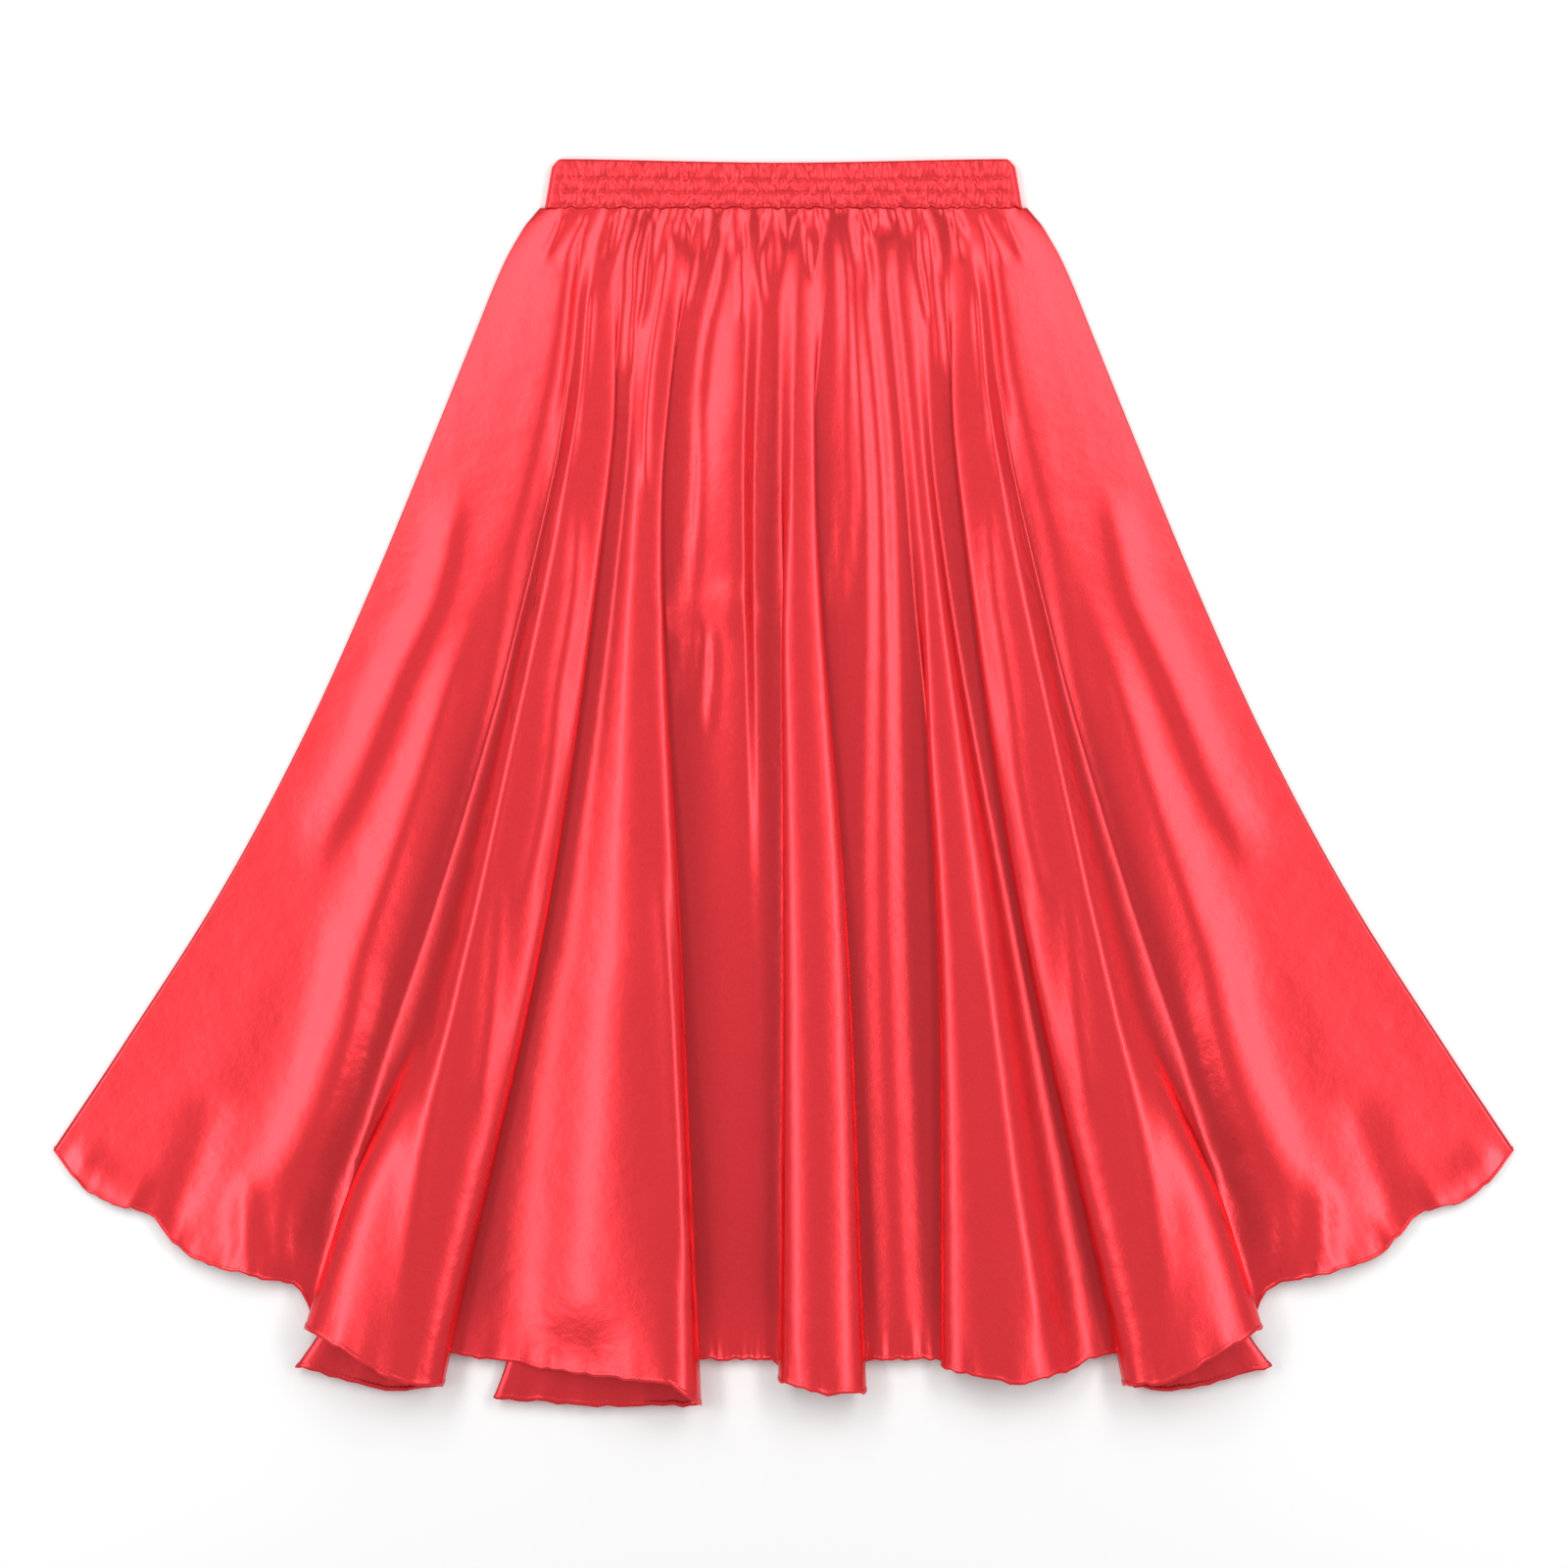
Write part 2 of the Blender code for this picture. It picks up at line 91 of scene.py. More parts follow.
# Each flute of the front has a value at each of STATIONS, which are distances below the waist seam, for
# left and right (its edges), height, crest (where the ridge lies: -1 is the left edge, 1 the right) and
# full (over 1 keeps a soft side high for longer). The rest hold a value for the left side and one for the
# right: the shape of the edge, where it starts to fold under, how far the fold runs back at the hem (tuck),
# and how much further it swings out just there (slip). lip is how far the hem hangs below the hem line at
# the left edge, the crest and the right edge. inner_lip is that of each inner fold, at its neck and halfway.
STATIONS = (0, 182, 470, 758)
Flute = namedtuple(
    "Flute",
    "name left right height crest full edges fold_from tuck slip lip inner_lip",
    defaults=(
        (0, 0, 0, 0), (1, 1, 1, 1), ("soft", "soft"),
        (0, 0), (0, 0), (0, 0), (0, 0, 0), ((0, 0), (0, 0)),
    ),
)


def mirrored(flute, name):
    """The flute's twin on the other side of the skirt."""
    sides = ("edges", "fold_from", "tuck", "slip", "lip", "inner_lip")
    swapped = {side: getattr(flute, side)[::-1] for side in sides}
    left, right, crest = (tuple(-value for value in v) for v in (flute.right, flute.left, flute.crest))
    return flute._replace(name=name, left=left, right=right, crest=crest, **swapped)


LEFT_BOX = Flute(
    "left_box",
    left=(-129, -151, -224, -315),
    right=(-102, -114, -155, -222),
    height=(3, 6, 17, 30),
    crest=(-0.4, -0.4, -0.2, 0.3),
    edges=("tucked", "tucked"),
    fold_from=(680, 150),
    tuck=(6, 98),
    slip=(0, 26),
    lip=(27, 32, 21),
    inner_lip=((20, 24), (54, 44)),
)
FLUTES = (
    LEFT_BOX,
    Flute(
        "left_knife",
        left=(-97, -103, -140, -199),
        right=(-55, -79, -67, -53),
        height=(3, 4.5, 14, 29),
        crest=(0, 0.2, 0.7, 0.72),
        full=(1, 2.0, 1.7, 0.78),
        edges=("soft", "tucked"),
        fold_from=(0, 150),
        tuck=(0, 131),
        slip=(0, 12),
        lip=(3, 15, 30),
        inner_lip=((0, 0), (26, 31)),
    ),
    Flute(
        "puff",
        left=(-48, -57, -50, -45),
        right=(-10, -19, -15, -16),
        height=(3, 6.5, 0.5, 0),
        crest=(0.3, 0.55, 0.5, 0),
    ),
    Flute(
        "centre",
        left=(-4, -2, -1, -4),
        right=(31, 21, 42, 55),
        height=(3, 5, 14, 25),
        crest=(0, -0.2, 0, 0),
        edges=("tucked", "tucked"),
        fold_from=(300, 180),
        tuck=(5, 22),
        lip=(13, 22, 21),
        inner_lip=((6, 11), (12, 17)),
    ),
    Flute("slim", left=(36, 53, 50, 58), right=(57, 73, 82, 96), height=(2, 3, 3, 3)),
    Flute(
        "right_soft",
        left=(62, 80, 100, 102),
        right=(94, 99, 146, 202),
        height=(3, 4.2, 13, 22),
        crest=(-0.5, 0.15, -0.35, 0.05),
        full=(1, 1.5, 2, 1.2),
        edges=("tucked", "soft"),
        fold_from=(380, 0),
        tuck=(5, 0),
        lip=(5, 17, 3),
        inner_lip=((1, 3), (0, 0)),
    ),
    mirrored(LEFT_BOX, "right_box"),
)

# A flute's side runs from its foot, past its edge, to its crest. Shares are 0 at the crest, 1 at the edge
SIDE_POINTS = 14
ARC_POINTS = SIDE_POINTS - 6  # the points of a tucked side above its folded edge
SOFT_FOOT, TUCKED_FOOT = 1.13, 1.03
CREST_ROUND, FOOT_ROUND = 0.3, 0.4
EDGE_CURL = (0.96, 0.03)  # share and rise of the point below a folded edge
EDGE_RISE = 0.24  # the folded edge's height, as a share of the flute's
ARC_FULLNESS = 0.88  # 1 bends a tucked side evenly, less keeps it flat until close to its edge
FOLD_FADE, FOLD_NEAR = 150, 2  # a fold forms over this length, or so many times what is left to the hem
FOLD_MIDDLE = 0.55  # where an inner fold has its middle point, from its neck to the edge
LEAST_TUCK, TUCK_INSIDE = 3, 20  # an inner fold's least depth, and its distance from the other edge
LIP_FULL = 0.25  # a soft side has its whole lip from this share of its height up
LIP_POWER, SLIP_POWER = 6, 14  # how suddenly the lips and slips set in towards the hem
GATHER_REACH = 60  # how far down the flutes take their full shape

# A wing lies between the side edge and the first flute: its lift halfway down and at the hem
Wing = namedtuple("Wing", "share lift_mid lift_hem")
WINGS = (
    Wing(0, -4.0, -4.0), Wing(0.03, -3.6, -3.7), Wing(0.10, -2.8, -3.1), Wing(0.20, -1.7, -2.2),
    Wing(0.30, -0.7, -1.2), Wing(0.40, 0.4, -0.2), Wing(0.50, 1.4, 0.8), Wing(0.60, 2.4, 2.4),
    Wing(0.72, 3.6, 5.4), Wing(0.84, 4.4, 4.2), Wing(0.93, 3.0, 1.2), Wing(1, 0, 0),
)
WING_POINTS, BACK_WING_POINTS = 22, 20
EDGE_ROUND = 0.004  # share of a wing over which its outer edge rounds over

# The back's knife pleats, which lie flat inside it: their edge at each of STATIONS, and their hem depth
Pleat = namedtuple("Pleat", "name edge depth")
PLEATS = (
    Pleat("outer_left", (-104, -128, -200, -262), 92),
    Pleat("inner_left", (-52, -64, -92, -128), 88),
    Pleat("middle", (10, 14, 22, 22), 94),
    Pleat("inner_right", (70, 88, 128, 170), 90),
    Pleat("outer_right", (124, 158, 250, 330), 92),
)
PLEAT_LEVELS = (0, 0, 0.5, 0.95, 1.05, 1.5, 2, 2, 0)  # how many layers up each point of a pleat lies
PLEAT_RUN_OUT = 12  # where a pleat's top layer comes down to the surface, past its edge
PLEAT_OVER = 1  # how far the top layer reaches past the edge before it comes down
PLEAT_STAND, PLEAT_START = 60, 100  # how far down a pleat starts to stand up, and then to fold
BACK_SHORTER, BACK_SIDE_FADE = 5, 40  # the back's hem is this much shorter, but for its sides

# The panels' meshes
FRONT_CROWDING, BACK_CROWDING = 1.4, 1.25  # how much closer the rows are by the waist
COLUMN_SPLITS = 12  # the most columns between two points of a row
EASE_ROUNDS = 2
TINY = 1e-12

# Creases are soft ridges (height above 0) and troughs. The line is (x, y). left and right are the widths of
# the two flanks, with right as left where it isn't given, and height is the lift: each holds values spread
# evenly along the line. A crease with a twin has its mirror image on the right half.
Crease = namedtuple("Crease", "name line height left right twin", defaults=(None, False))
FRONT_CREASES = (
    Crease(
        "wing_streak",
        ((-211, 204), (-226, 127), (-254, 63), (-280, -1), (-297, -33), (-311, -61)),
        height=(1.4, 2.8, 2.0), left=(13, 17), right=(7, 8), twin=True,
    ),
    Crease(
        "wing_second",
        (
            (-202, 115), (-220, 63), (-240, -1), (-268, -84), (-279, -116),
            (-284, -154), (-293, -193), (-306, -225), (-344, -282),
        ),
        height=(1.4, 2.2, 3.6, 3.0, 2.0), left=(11, 13, 24, 20, 14), right=(6, 8, 12, 10), twin=True,
    ),
    Crease("wing_tip", ((-466, -240), (-440, -262), (-414, -276)), (2.4, 2.4), (9, 9), twin=True),
    Crease("wing_prong", ((-352, -258), (-350, -300), (-345, -330)), (2.2, 2.6), (9, 7), (7, 7), True),
    Crease(
        "wing_prong_small",
        ((-330, -272), (-327, -300), (-324, -330)),
        height=(1.6, 2.2), left=(6, 6), right=(5, 5), twin=True,
    ),
    Crease(
        "wing_trough",
        ((-370, -200), (-386, -248), (-404, -295)),
        height=(-1.4, -2.4), left=(14, 14), right=(14, 12), twin=True,
    ),
    Crease("waist_crease", ((-128, 373), (-136, 356), (-145, 338)), (1.3, 0.9), (2.6, 4), (2.2, 3), True),
    Crease(
        "waist_crease_outer",
        ((-144, 371), (-150, 356), (-157, 342)),
        height=(1.1, 0.8), left=(2.4, 4), right=(2.2, 3), twin=True,
    ),
    Crease(
        "waist_crease_inner",
        ((-110, 373), (-113, 356), (-116, 340)),
        height=(1.2, 0.9), left=(2.4, 3), right=(2.2, 3), twin=True,
    ),
    Crease(
        "box_fold",
        ((-139, 279), (-145, 255), (-153, 223), (-163, 179), (-171, 140), (-179, 95), (-189, 60)),
        height=(-0.6, -1.2, -0.8), left=(5, 8), right=(4, 6), twin=True,
    ),
    Crease(
        "box_valley",
        (
            (-182, 163), (-189, 115), (-204, 63), (-217, -1),
            (-236, -65), (-256, -129), (-294, -257), (-307, -321),
        ),
        height=(-1.0, -2.2, -2.4), left=(9, 13, 14), right=(9, 12, 12), twin=True,
    ),
    Crease(
        "box_crest",
        (
            (-120, 319), (-128, 268), (-140, 217), (-150, 179), (-160, 127),
            (-172, 63), (-198, -65), (-227, -193), (-247, -321), (-249, -380),
        ),
        height=(1.4, 2.0, 2.2), left=(4, 8, 9), right=(4, 6, 8), twin=True,
    ),
    Crease("box_line", ((-124, 326), (-128, 268), (-134, 223)), (-0.8, -0.8), (2, 2), twin=True),
    Crease(
        "box_second",
        ((-134, 191), (-137, 127), (-147, 63), (-153, -1), (-166, -65), (-179, -97)),
        height=(1.5, 2.1), left=(4, 6), twin=True,
    ),
    Crease(
        "box_third",
        ((-185, -52), (-188, -103), (-192, -161), (-199, -216)),
        height=(1.8, 1.8), left=(6, 6), right=(5, 6), twin=True,
    ),
    Crease(
        "knife_line",
        ((-73, 372), (-78, 330), (-86, 280), (-90, 230), (-90, 180)),
        height=(1.2, 1.2), left=(2.4, 3),
    ),
    Crease(
        "knife_edge",
        ((-82, -40), (-74, -130), (-67, -225), (-58, -340)),
        height=(0.6, 2.4, 2.4), left=(6, 8, 8), right=(3, 3, 4),
    ),
    Crease(
        "short_ridge",
        ((35, 372), (40, 340), (42, 294), (42, 220), (43, 190), (39, 150), (32, 96)),
        height=(2.6, 4.6, 3.0), left=(4.5, 5),
    ),
    Crease("knife_patch", ((-121, -103), (-128, -224), (-134, -378)), (1.5, 4.0), (30, 26)),
    Crease(
        "left_gather",
        ((-91, 371), (-98, 345), (-99, 319), (-101, 294), (-102, 262)),
        height=(1.8, 1.6), left=(2, 2.6),
    ),
    Crease("left_gather_inner", ((-85, 370), (-88, 345), (-91, 313), (-96, 294)), (1.6, 1.4), (2, 2)),
    Crease(
        "puff_left",
        ((-37, 371), (-41, 332), (-50, 294), (-55, 249), (-55, 204), (-57, 166), (-62, 115), (-64, 96)),
        height=(1.8, 2.3, 1.8), left=(2.2, 3.0), right=(2.4, 4.5),
    ),
    Crease(
        "puff_top",
        ((-11, 373), (-12, 357), (-15, 343), (-14, 329), (-12, 312)),
        height=(1.8, 1.6), left=(2, 3), right=(2, 2),
    ),
    Crease(
        "puff_body",
        ((-44, 262), (-48, 200), (-52, 140), (-54, 104)),
        height=(0.8, 1.8, 1.6), left=(9, 10), right=(12, 14),
    ),
    Crease(
        "puff_foot",
        ((-72, 92), (-58, 108), (-40, 112), (-22, 128)),
        height=(1.6, 2.6, 2.0), left=(14, 15), right=(11, 12),
    ),
    Crease("puff_tongue", ((-58, 106), (-60, 84), (-67, 50)), (2.2, 1.8), (4, 4), (4, 3)),
    Crease("puff_spike", ((-46, 100), (-46, 66), (-50, 34)), (1.8, 1.6), (3, 3)),
    Crease(
        "centre_valley",
        ((-5, 352), (-5, 280), (-7, 220), (-9, 150), (-10, 60), (-8, -60), (-10, -200), (-8, -384)),
        height=(-1.0, -1.0, -0.8), left=(6, 9), right=(6, 8),
    ),
    Crease("centre_fork_left", ((-2, 373), (-1, 362), (2, 350)), (1.6, 1.6), (1.8, 1.8)),
    Crease("centre_fork_right", ((10, 373), (7, 361), (3, 350)), (1.6, 1.6), (1.8, 1.8)),
    Crease("right_second", ((128, -83), (141, -179), (151, -252), (174, -384)), (1.4, 2.0), (6, 8)),
    Crease("right_gather", ((87, 372), (87, 344), (91, 319), (95, 298)), (1.8, 1.5), (2, 2)),
    Crease("right_gather_outer", ((95, 370), (97, 332), (101, 294), (103, 262)), (1.8, 1.6), (2, 2.6)),
    Crease(
        "loop_left",
        ((-50, 368), (-56, 332), (-60, 314), (-51, 336), (-42, 368)),
        height=(1.7, 1.7), left=(1.8, 1.8),
    ),
    Crease("loop_left_small", ((-64, 374), (-60, 357), (-56, 374)), (1.5, 1.5), (1.6, 1.6)),
    Crease(
        "loop_puff",
        ((-27, 373), (-26, 352), (-28, 332), (-27, 319), (-29, 297)),
        height=(1.7, 1.5), left=(2.0, 2.4),
    ),
    Crease("loop_centre", ((14, 366), (16, 342), (19, 330), (22, 342), (24, 366)), (1.6, 1.6), (1.6, 1.6)),
    Crease("loop_right", ((47, 374), (58, 356), (63, 374)), (1.5, 1.5), (1.7, 1.7)),
)
BACK_CREASES = (
    Crease(
        "wing_left",
        ((-205, 215), (-240, 90), (-290, -40), (-345, -150)),
        height=(1.2, 2.2, 1.4), left=(14, 18), right=(9, 11),
    ),
    Crease(
        "wing_right",
        ((198, 190), (226, 60), (282, -90), (330, -190)),
        height=(1.0, 2.0, 1.6), left=(9, 12), right=(13, 18),
    ),
    Crease("fall_left", ((-66, 300), (-96, 120), (-150, -110), (-180, -300)), (1.0, 1.7), (8, 13), (6, 9)),
    Crease("fall_middle", ((-18, 320), (-30, 80), (-44, -160), (-58, -340)), (0.9, 1.7), (6, 9), (7, 12)),
    Crease("fall_right", ((96, 300), (150, 60), (205, -120), (238, -290)), (1.1, 1.9), (7, 11), (8, 12)),
)
CREASE_STEPS = 30
CREASE_ENDS, GATHER_ENDS = 0.16, 0.4  # share of a crease over which it fades in and out
CREASE_REACH = 2.8  # widths from its line to where a crease is lost
CREASE_STEEP = 0.5  # a crease's height is at most this share of its narrower flank

# Short gathers below the waist seam, drawn at random within each pair of sizes
Gathers = namedtuple("Gathers", "count reach width height length seed")
FRONT_GATHERS = (
    Gathers(17, 0.70, (2.6, 4.2), (1.3, 2.2), (22, 70), 11),
    Gathers(34, 0.68, (1.1, 1.8), (0.5, 0.9), (4, 12), 12),
)
BACK_GATHERS = (
    Gathers(19, 0.86, (2.8, 4.4), (0.9, 1.6), (24, 90), 31),
    Gathers(30, 0.86, (1.2, 1.9), (0.4, 0.8), (5, 14), 32),
)
GATHER_ABOVE = 0.3  # a gather starts this share of its length above the seam
GATHER_SPREAD = 1.5  # how much wider it is at its lower end

# The waist seam wanders, as the elastic draws it up
SEAM_WANDER = 1.1
SEAM_WAVES = (2.9, 1.7, 1.1)
SEAM_WAVE_FADE = 8.0  # from the side edges
SEAM_WAVE_REACH = 6.0  # down the panels
BAND_WAVE_POWER = 4  # how suddenly it sets in down the band

# The hem's stitching draws it up in small waves: their lengths, how high and how far along they reach
HEM_WAVES = (34, 21, 13, 8.5)
HEM_WAVE_LIFT, HEM_WAVE_SHIFT, HEM_WAVE_REACH = 1.2, 1.5, 13
HEM_WAVE_WANDER, HEM_WANDER_LENGTH = 0.8, 2.7
HEM_SEED, BACK_HEM_SEED = 11, 12
ANY_PHASE = (0, 6)

# Rows close to the hem, and half the thickness of its roll there
Roll = namedtuple("Roll", "inset half")
HEM_ROLL = (
    Roll(3.6, 0.25), Roll(2.9, 0.28), Roll(2.3, 0.62),
    Roll(1.5, 0.80), Roll(0.6, 0.66), Roll(0.0, 0.30),
)

# Painted shade between the ridges, where the satin's colour is darkened to stand in for shade: how far round
# a point its level is taken, and how deep below that level the whole painted shade is reached
Hollow = namedtuple("Hollow", "reach depth")
PAINTED_SHADE_SCALES = (Hollow(24.0, 4.5), Hollow(7.0, 2.0))
PAINTED_SHADE_CELL = 3.0
PAINTED_SHADE_KERNEL = 2.5  # reaches from a point to where others stop counting
PAINTED_SHADE_RISE = -0.5
COVER_CELL, COVER_STEPS = 2.0, 9
# Painted shade between the gathers below the waist seam: how far down it reaches
PAINTED_SEAM_SHADE_REACH = 42
PAINTED_SEAM_SHADE_HALF, PAINTED_SEAM_SHADE_FADE = 0.78, 14  # share of the seam that has the painted shade, and its fade past it
PAINTED_SEAM_SHADE_TOP = 0.9  # a gather of this height has none of the painted shade
PAINTED_SHADE_HEM_CUT = 0.7  # how much of the painted shade is taken off at the hem, where the cloth lies open
PAINTED_SHADE_HEM_FROM, PAINTED_SHADE_HEM_OVER = 0.93, 0.06
# Painted shade on a panel's inside face, as a share of the full painted shade
INSIDE_PAINTED_SHADE = 0.5

# The waistband: a casing round a wide elastic, shirred in channels between its rows of stitching
BAND_WALL, BAND_SLIT = 3.4, 0.8
BAND_MIDDLE = BAND_WALL + 0.5 * BAND_SLIT
BAND_STITCH_ROWS = (12.5, 21.4, 30.7)
BAND_TOP_HALF, BAND_BOTTOM_HALF = 150.5, 156.0
BAND_TOP_DIP = 2.4
BAND_CORNER = 3.0
BAND_TOP_FOLD, BAND_LOWER_FOLD = 1.6, 1.0
BAND_LOWER_EDGE = ((0.1, 0.15), (0, 0.6), (0.2, 3.0))  # up from the band's lower edge, and into its wall
BAND_FACE_ROWS, BAND_INNER_ROWS, BAND_EDGE_TURNS = 30, 6, 4
BAND_FRONT_COLUMNS, BAND_BACK_COLUMNS, BAND_END_COLUMNS = 460, 300, 8
BAND_END_FADE = 9.0
BAND_BACK_SHARE = 0.6  # of the front's puckers, as the back lies pressed on the surface
Puckers = namedtuple("Puckers", "spacing width lift slant seed")
BAND_PUCKERS = Puckers(3.0, (0.9, 1.5), (0.5, 1.3), 0.6, 23)
PUCKER_PLACES = (0.1, 0.9)
PUCKER_BULGE = 0.4  # less makes a pucker fuller across its channel
PUCKER_LENGTH = 0.5
BAND_VALLEY = 0.5
STITCH_DIP, STITCH_DIP_WIDTH = 0.6, 0.9
# Painted shade between the band's puckers: the lift under which it sets in, and how far below that it is
# full
BAND_PAINTED_SHADE_LIFT, BAND_PAINTED_SHADE_DEPTH = 0.3, 1.0

# Stitches
STITCH_SEED = 5
STITCH_LENGTHS = (0.88, 1.1)
STITCH_PROUD = 0.2  # how far a stitch's middle stands out of the cloth's face
HEM_STITCH_ROW = 1  # the row of HEM_ROLL that the stitching follows

# Satin, by the node that it covers. shade is the colour's share left in the deepest hollows, as painted
# shade
Satin = namedtuple("Satin", "name roughness shade")
SATINS = {
    "skirt_back": Satin("red_satin_back", 0.3, 0.72),
    "skirt_front": Satin("red_satin", 0.27, 0.72),
    "waistband": Satin("red_satin_band", 0.34, 0.66),
}
WEAVE_MAP, PAINTED_SHADE_MAP = "weave", "hollow"
GRAIN_WIDTH, GRAIN_DEPTH = 1.2 * MM, 0.08 * MM
CRUMPLE_SIZE, CRUMPLE_DEPTH = 26 * MM, 0.8 * MM
TWIST_WIDTH, TWIST_DEPTH = 1.6 * MM, 0.05 * MM
MIX_COLOURS, MIX_RESULT = (6, 7), 2  # a Mix node's sockets for colours

# Softboxes above the skirt, facing straight down, each with a twin at -x
Softbox = namedtuple("Softbox", "name place size radiance")
SOFTBOXES = (
    Softbox("waist", (0.82, 0.79, 1.2), (0.64, 1.00), 4.0),
    Softbox("side", (0.94, -0.08, 1.2), (0.34, 0.90), 6.5),
)
FLOOR_REACH, FLOOR_LEVEL = 6.0, -0.3 * MM
SENSOR_WIDTH = 36.0
CAMERA_SHIFT = (0.3 * MM, -0.6 * MM)
CAMERA_END = 20.0


def smooth(share):
    """0 to 1 with a soft start and end."""
    share = np.clip(share, 0.0, 1.0)
    return share * share * (3 - 2 * share)


def between(start, end, start_slope, end_slope, s):
    """A cubic from start to end, s of the way along it."""
    return (
        start * (1 + 2 * s) * (1 - s) ** 2
        + end * s * s * (3 - 2 * s)
        + start_slope * s * (1 - s) ** 2
        - end_slope * s * s * (1 - s)
    )


def through(places, values, at):
    """A smooth curve through the values at those places, read at one place or at an array of them."""
    places, values = np.asarray(places, float), np.asarray(values, float)
    slopes = np.empty(len(places))
    slopes[1:-1] = (values[2:] - values[:-2]) / (places[2:] - places[:-2])
    slopes[0] = (values[1] - values[0]) / (places[1] - places[0])
    slopes[-1] = (values[-1] - values[-2]) / (places[-1] - places[-2])
    at = np.clip(at, places[0], places[-1])
    i = np.clip(np.searchsorted(places, at) - 1, 0, len(places) - 2)
    step = places[i + 1] - places[i]
    s = (at - places[i]) / step
    return between(values[i], values[i + 1], slopes[i] * step, slopes[i + 1] * step, s)


def hem_rise(share):
    """How far the hem has climbed at that share of the way to a side tip."""
    return through(*zip(*HEM_LINE), np.abs(share))


def side_half_width(t):
    """Half the skirt's width in the row at t, which is 0 at the waist seam and 1 at the hem."""
    return through(*zip(*SIDE_LINE), SKIRT_LENGTH * t - HEM_LINE[-1].rise * t * t)


def at_stations(values, down):
    """A flute's or pleat's value that far below the waist seam."""
    return float(through(STATIONS, values, down))


def ramp(share):
    """1 at the crest to 0 at the foot in an even slope, with its ends rounded."""
    at_crest = np.clip(share, 0, CREST_ROUND)
    middle = np.clip(share - CREST_ROUND, 0, 1 - CREST_ROUND - FOOT_ROUND)
    at_foot = np.clip(share - 1 + FOOT_ROUND, 0, FOOT_ROUND)
    fallen = at_crest**2 / (2 * CREST_ROUND) + middle + at_foot - at_foot**2 / (2 * FOOT_ROUND)
    return 1 - fallen / (1 - 0.5 * (CREST_ROUND + FOOT_ROUND))


def flute_shape(flute, down):
    """A flute's left and right edges, its height and where its crest lies, in the row that far down."""
    shape = (flute.left, flute.right, flute.height, flute.crest)
    left, right, height, crest = (at_stations(values, down) for values in shape)
    return left, right, height, 0.5 * (left + right) + 0.5 * crest * (right - left)


def flute_side(flute, down, index):
    """The points (x, z, lip) of a flute's left (0) or right (1) side, from its foot to its crest."""
    left, right, height, crest = flute_shape(flute, down)
    side = 2 * index - 1
    edge = (left, right)[index]
    reach = edge - crest
    edge_lip, crest_lip = flute.lip[2 * index], flute.lip[1]

    def at(share, rise, base=0.0):
        lip = edge_lip + (crest_lip - edge_lip) * (1 - min(1.0, share))
        return (crest + share * reach, base + rise * (height - base), lip)

    shares = [SOFT_FOOT * (1 - i / SIDE_POINTS) for i in range(SIDE_POINTS)]
    full = at_stations(flute.full, down)
    soft = [at(a, float(ramp((a / SOFT_FOOT) ** full))) for a in shares]
    soft = np.array([(x, z, lip * smooth(z / (LIP_FULL * max(height, 1)))) for x, z, lip in soft])
    if flute.edges[index] == "soft":
        return soft
    start = flute.fold_from[index]
    way = max(0.0, down - start) / (SKIRT_LENGTH - start)
    tuck = max(LEAST_TUCK, min(flute.tuck[index] * way, right - left - TUCK_INSIDE))
    tuck += flute.slip[index] * way**SLIP_POWER
    neck = edge - side * tuck
    neck_lip, middle_lip = flute.inner_lip[index]
    inner_end = crest + EDGE_CURL[0] * reach
    tucked = [
        (crest + TUCKED_FOOT * reach, 0.0, 0.0),
        (neck, 0.0, neck_lip),
        (neck - side * SMALL_TURN, SMALL_TURN, neck_lip),
        (neck, LAYER, neck_lip),
        (neck + FOLD_MIDDLE * (inner_end - neck), LAYER, middle_lip),
        at(*EDGE_CURL, base=LAYER),
    ]
    for k in range(ARC_POINTS):
        turn = 0.5 * math.pi * (1 - k / ARC_POINTS)
        share, rise = math.sin(turn) ** ARC_FULLNESS, math.cos(turn) ** ARC_FULLNESS
        tucked.append(at(share, EDGE_RISE + (1 - EDGE_RISE) * rise, base=LAYER))
    folded = smooth(1 + (down - start) / min(FOLD_FADE, start, FOLD_NEAR * (SKIRT_LENGTH - start)))
    return soft + (np.array(tucked) - soft) * folded


def flute_points(flute, down):
    """A flute's points. Above GATHER_REACH they spread, until they stand evenly apart at the seam."""
    left, right, height, crest = flute_shape(flute, down)
    top = (crest, height, flute.lip[1])
    points = np.vstack([flute_side(flute, down, 0), [top], flute_side(flute, down, 1)[::-1]])
    even = np.linspace(left, right, len(points))
    points[:, 0] = even + (points[:, 0] - even) * smooth(down / GATHER_REACH)
    return points


def wing_shares(count):
    """Places across a wing, from its outer edge."""
    return np.concatenate([[0, EDGE_ROUND], np.linspace(0, 1, count - 1, endpoint=False)[1:]])


def wing_points(side_edge, flute_edge, t):
    """The points from the side edge to the first flute, above FRONT_LEVEL."""
    shares = wing_shares(WING_POINTS)
    lifts = [wing.lift_mid + (wing.lift_hem - wing.lift_mid) * t * t for wing in WINGS]
    lift = through([wing.share for wing in WINGS], lifts, shares)
    return np.column_stack([side_edge + shares * (flute_edge - side_edge), lift, np.zeros(len(shares))])


def front_row(t):
    """The front panel's row at t as (x, z, lip), from the left side edge to the right one."""
    down = SKIRT_LENGTH * t
    half = float(side_half_width(t))
    left_wing = wing_points(-half, at_stations(FLUTES[0].left, down), t)
    right_wing = wing_points(half, at_stations(FLUTES[-1].right, down), t)[::-1]
    row = np.vstack([left_wing, *(flute_points(flute, down) for flute in FLUTES), right_wing])
    row[:, 1] += FRONT_LEVEL
    return row


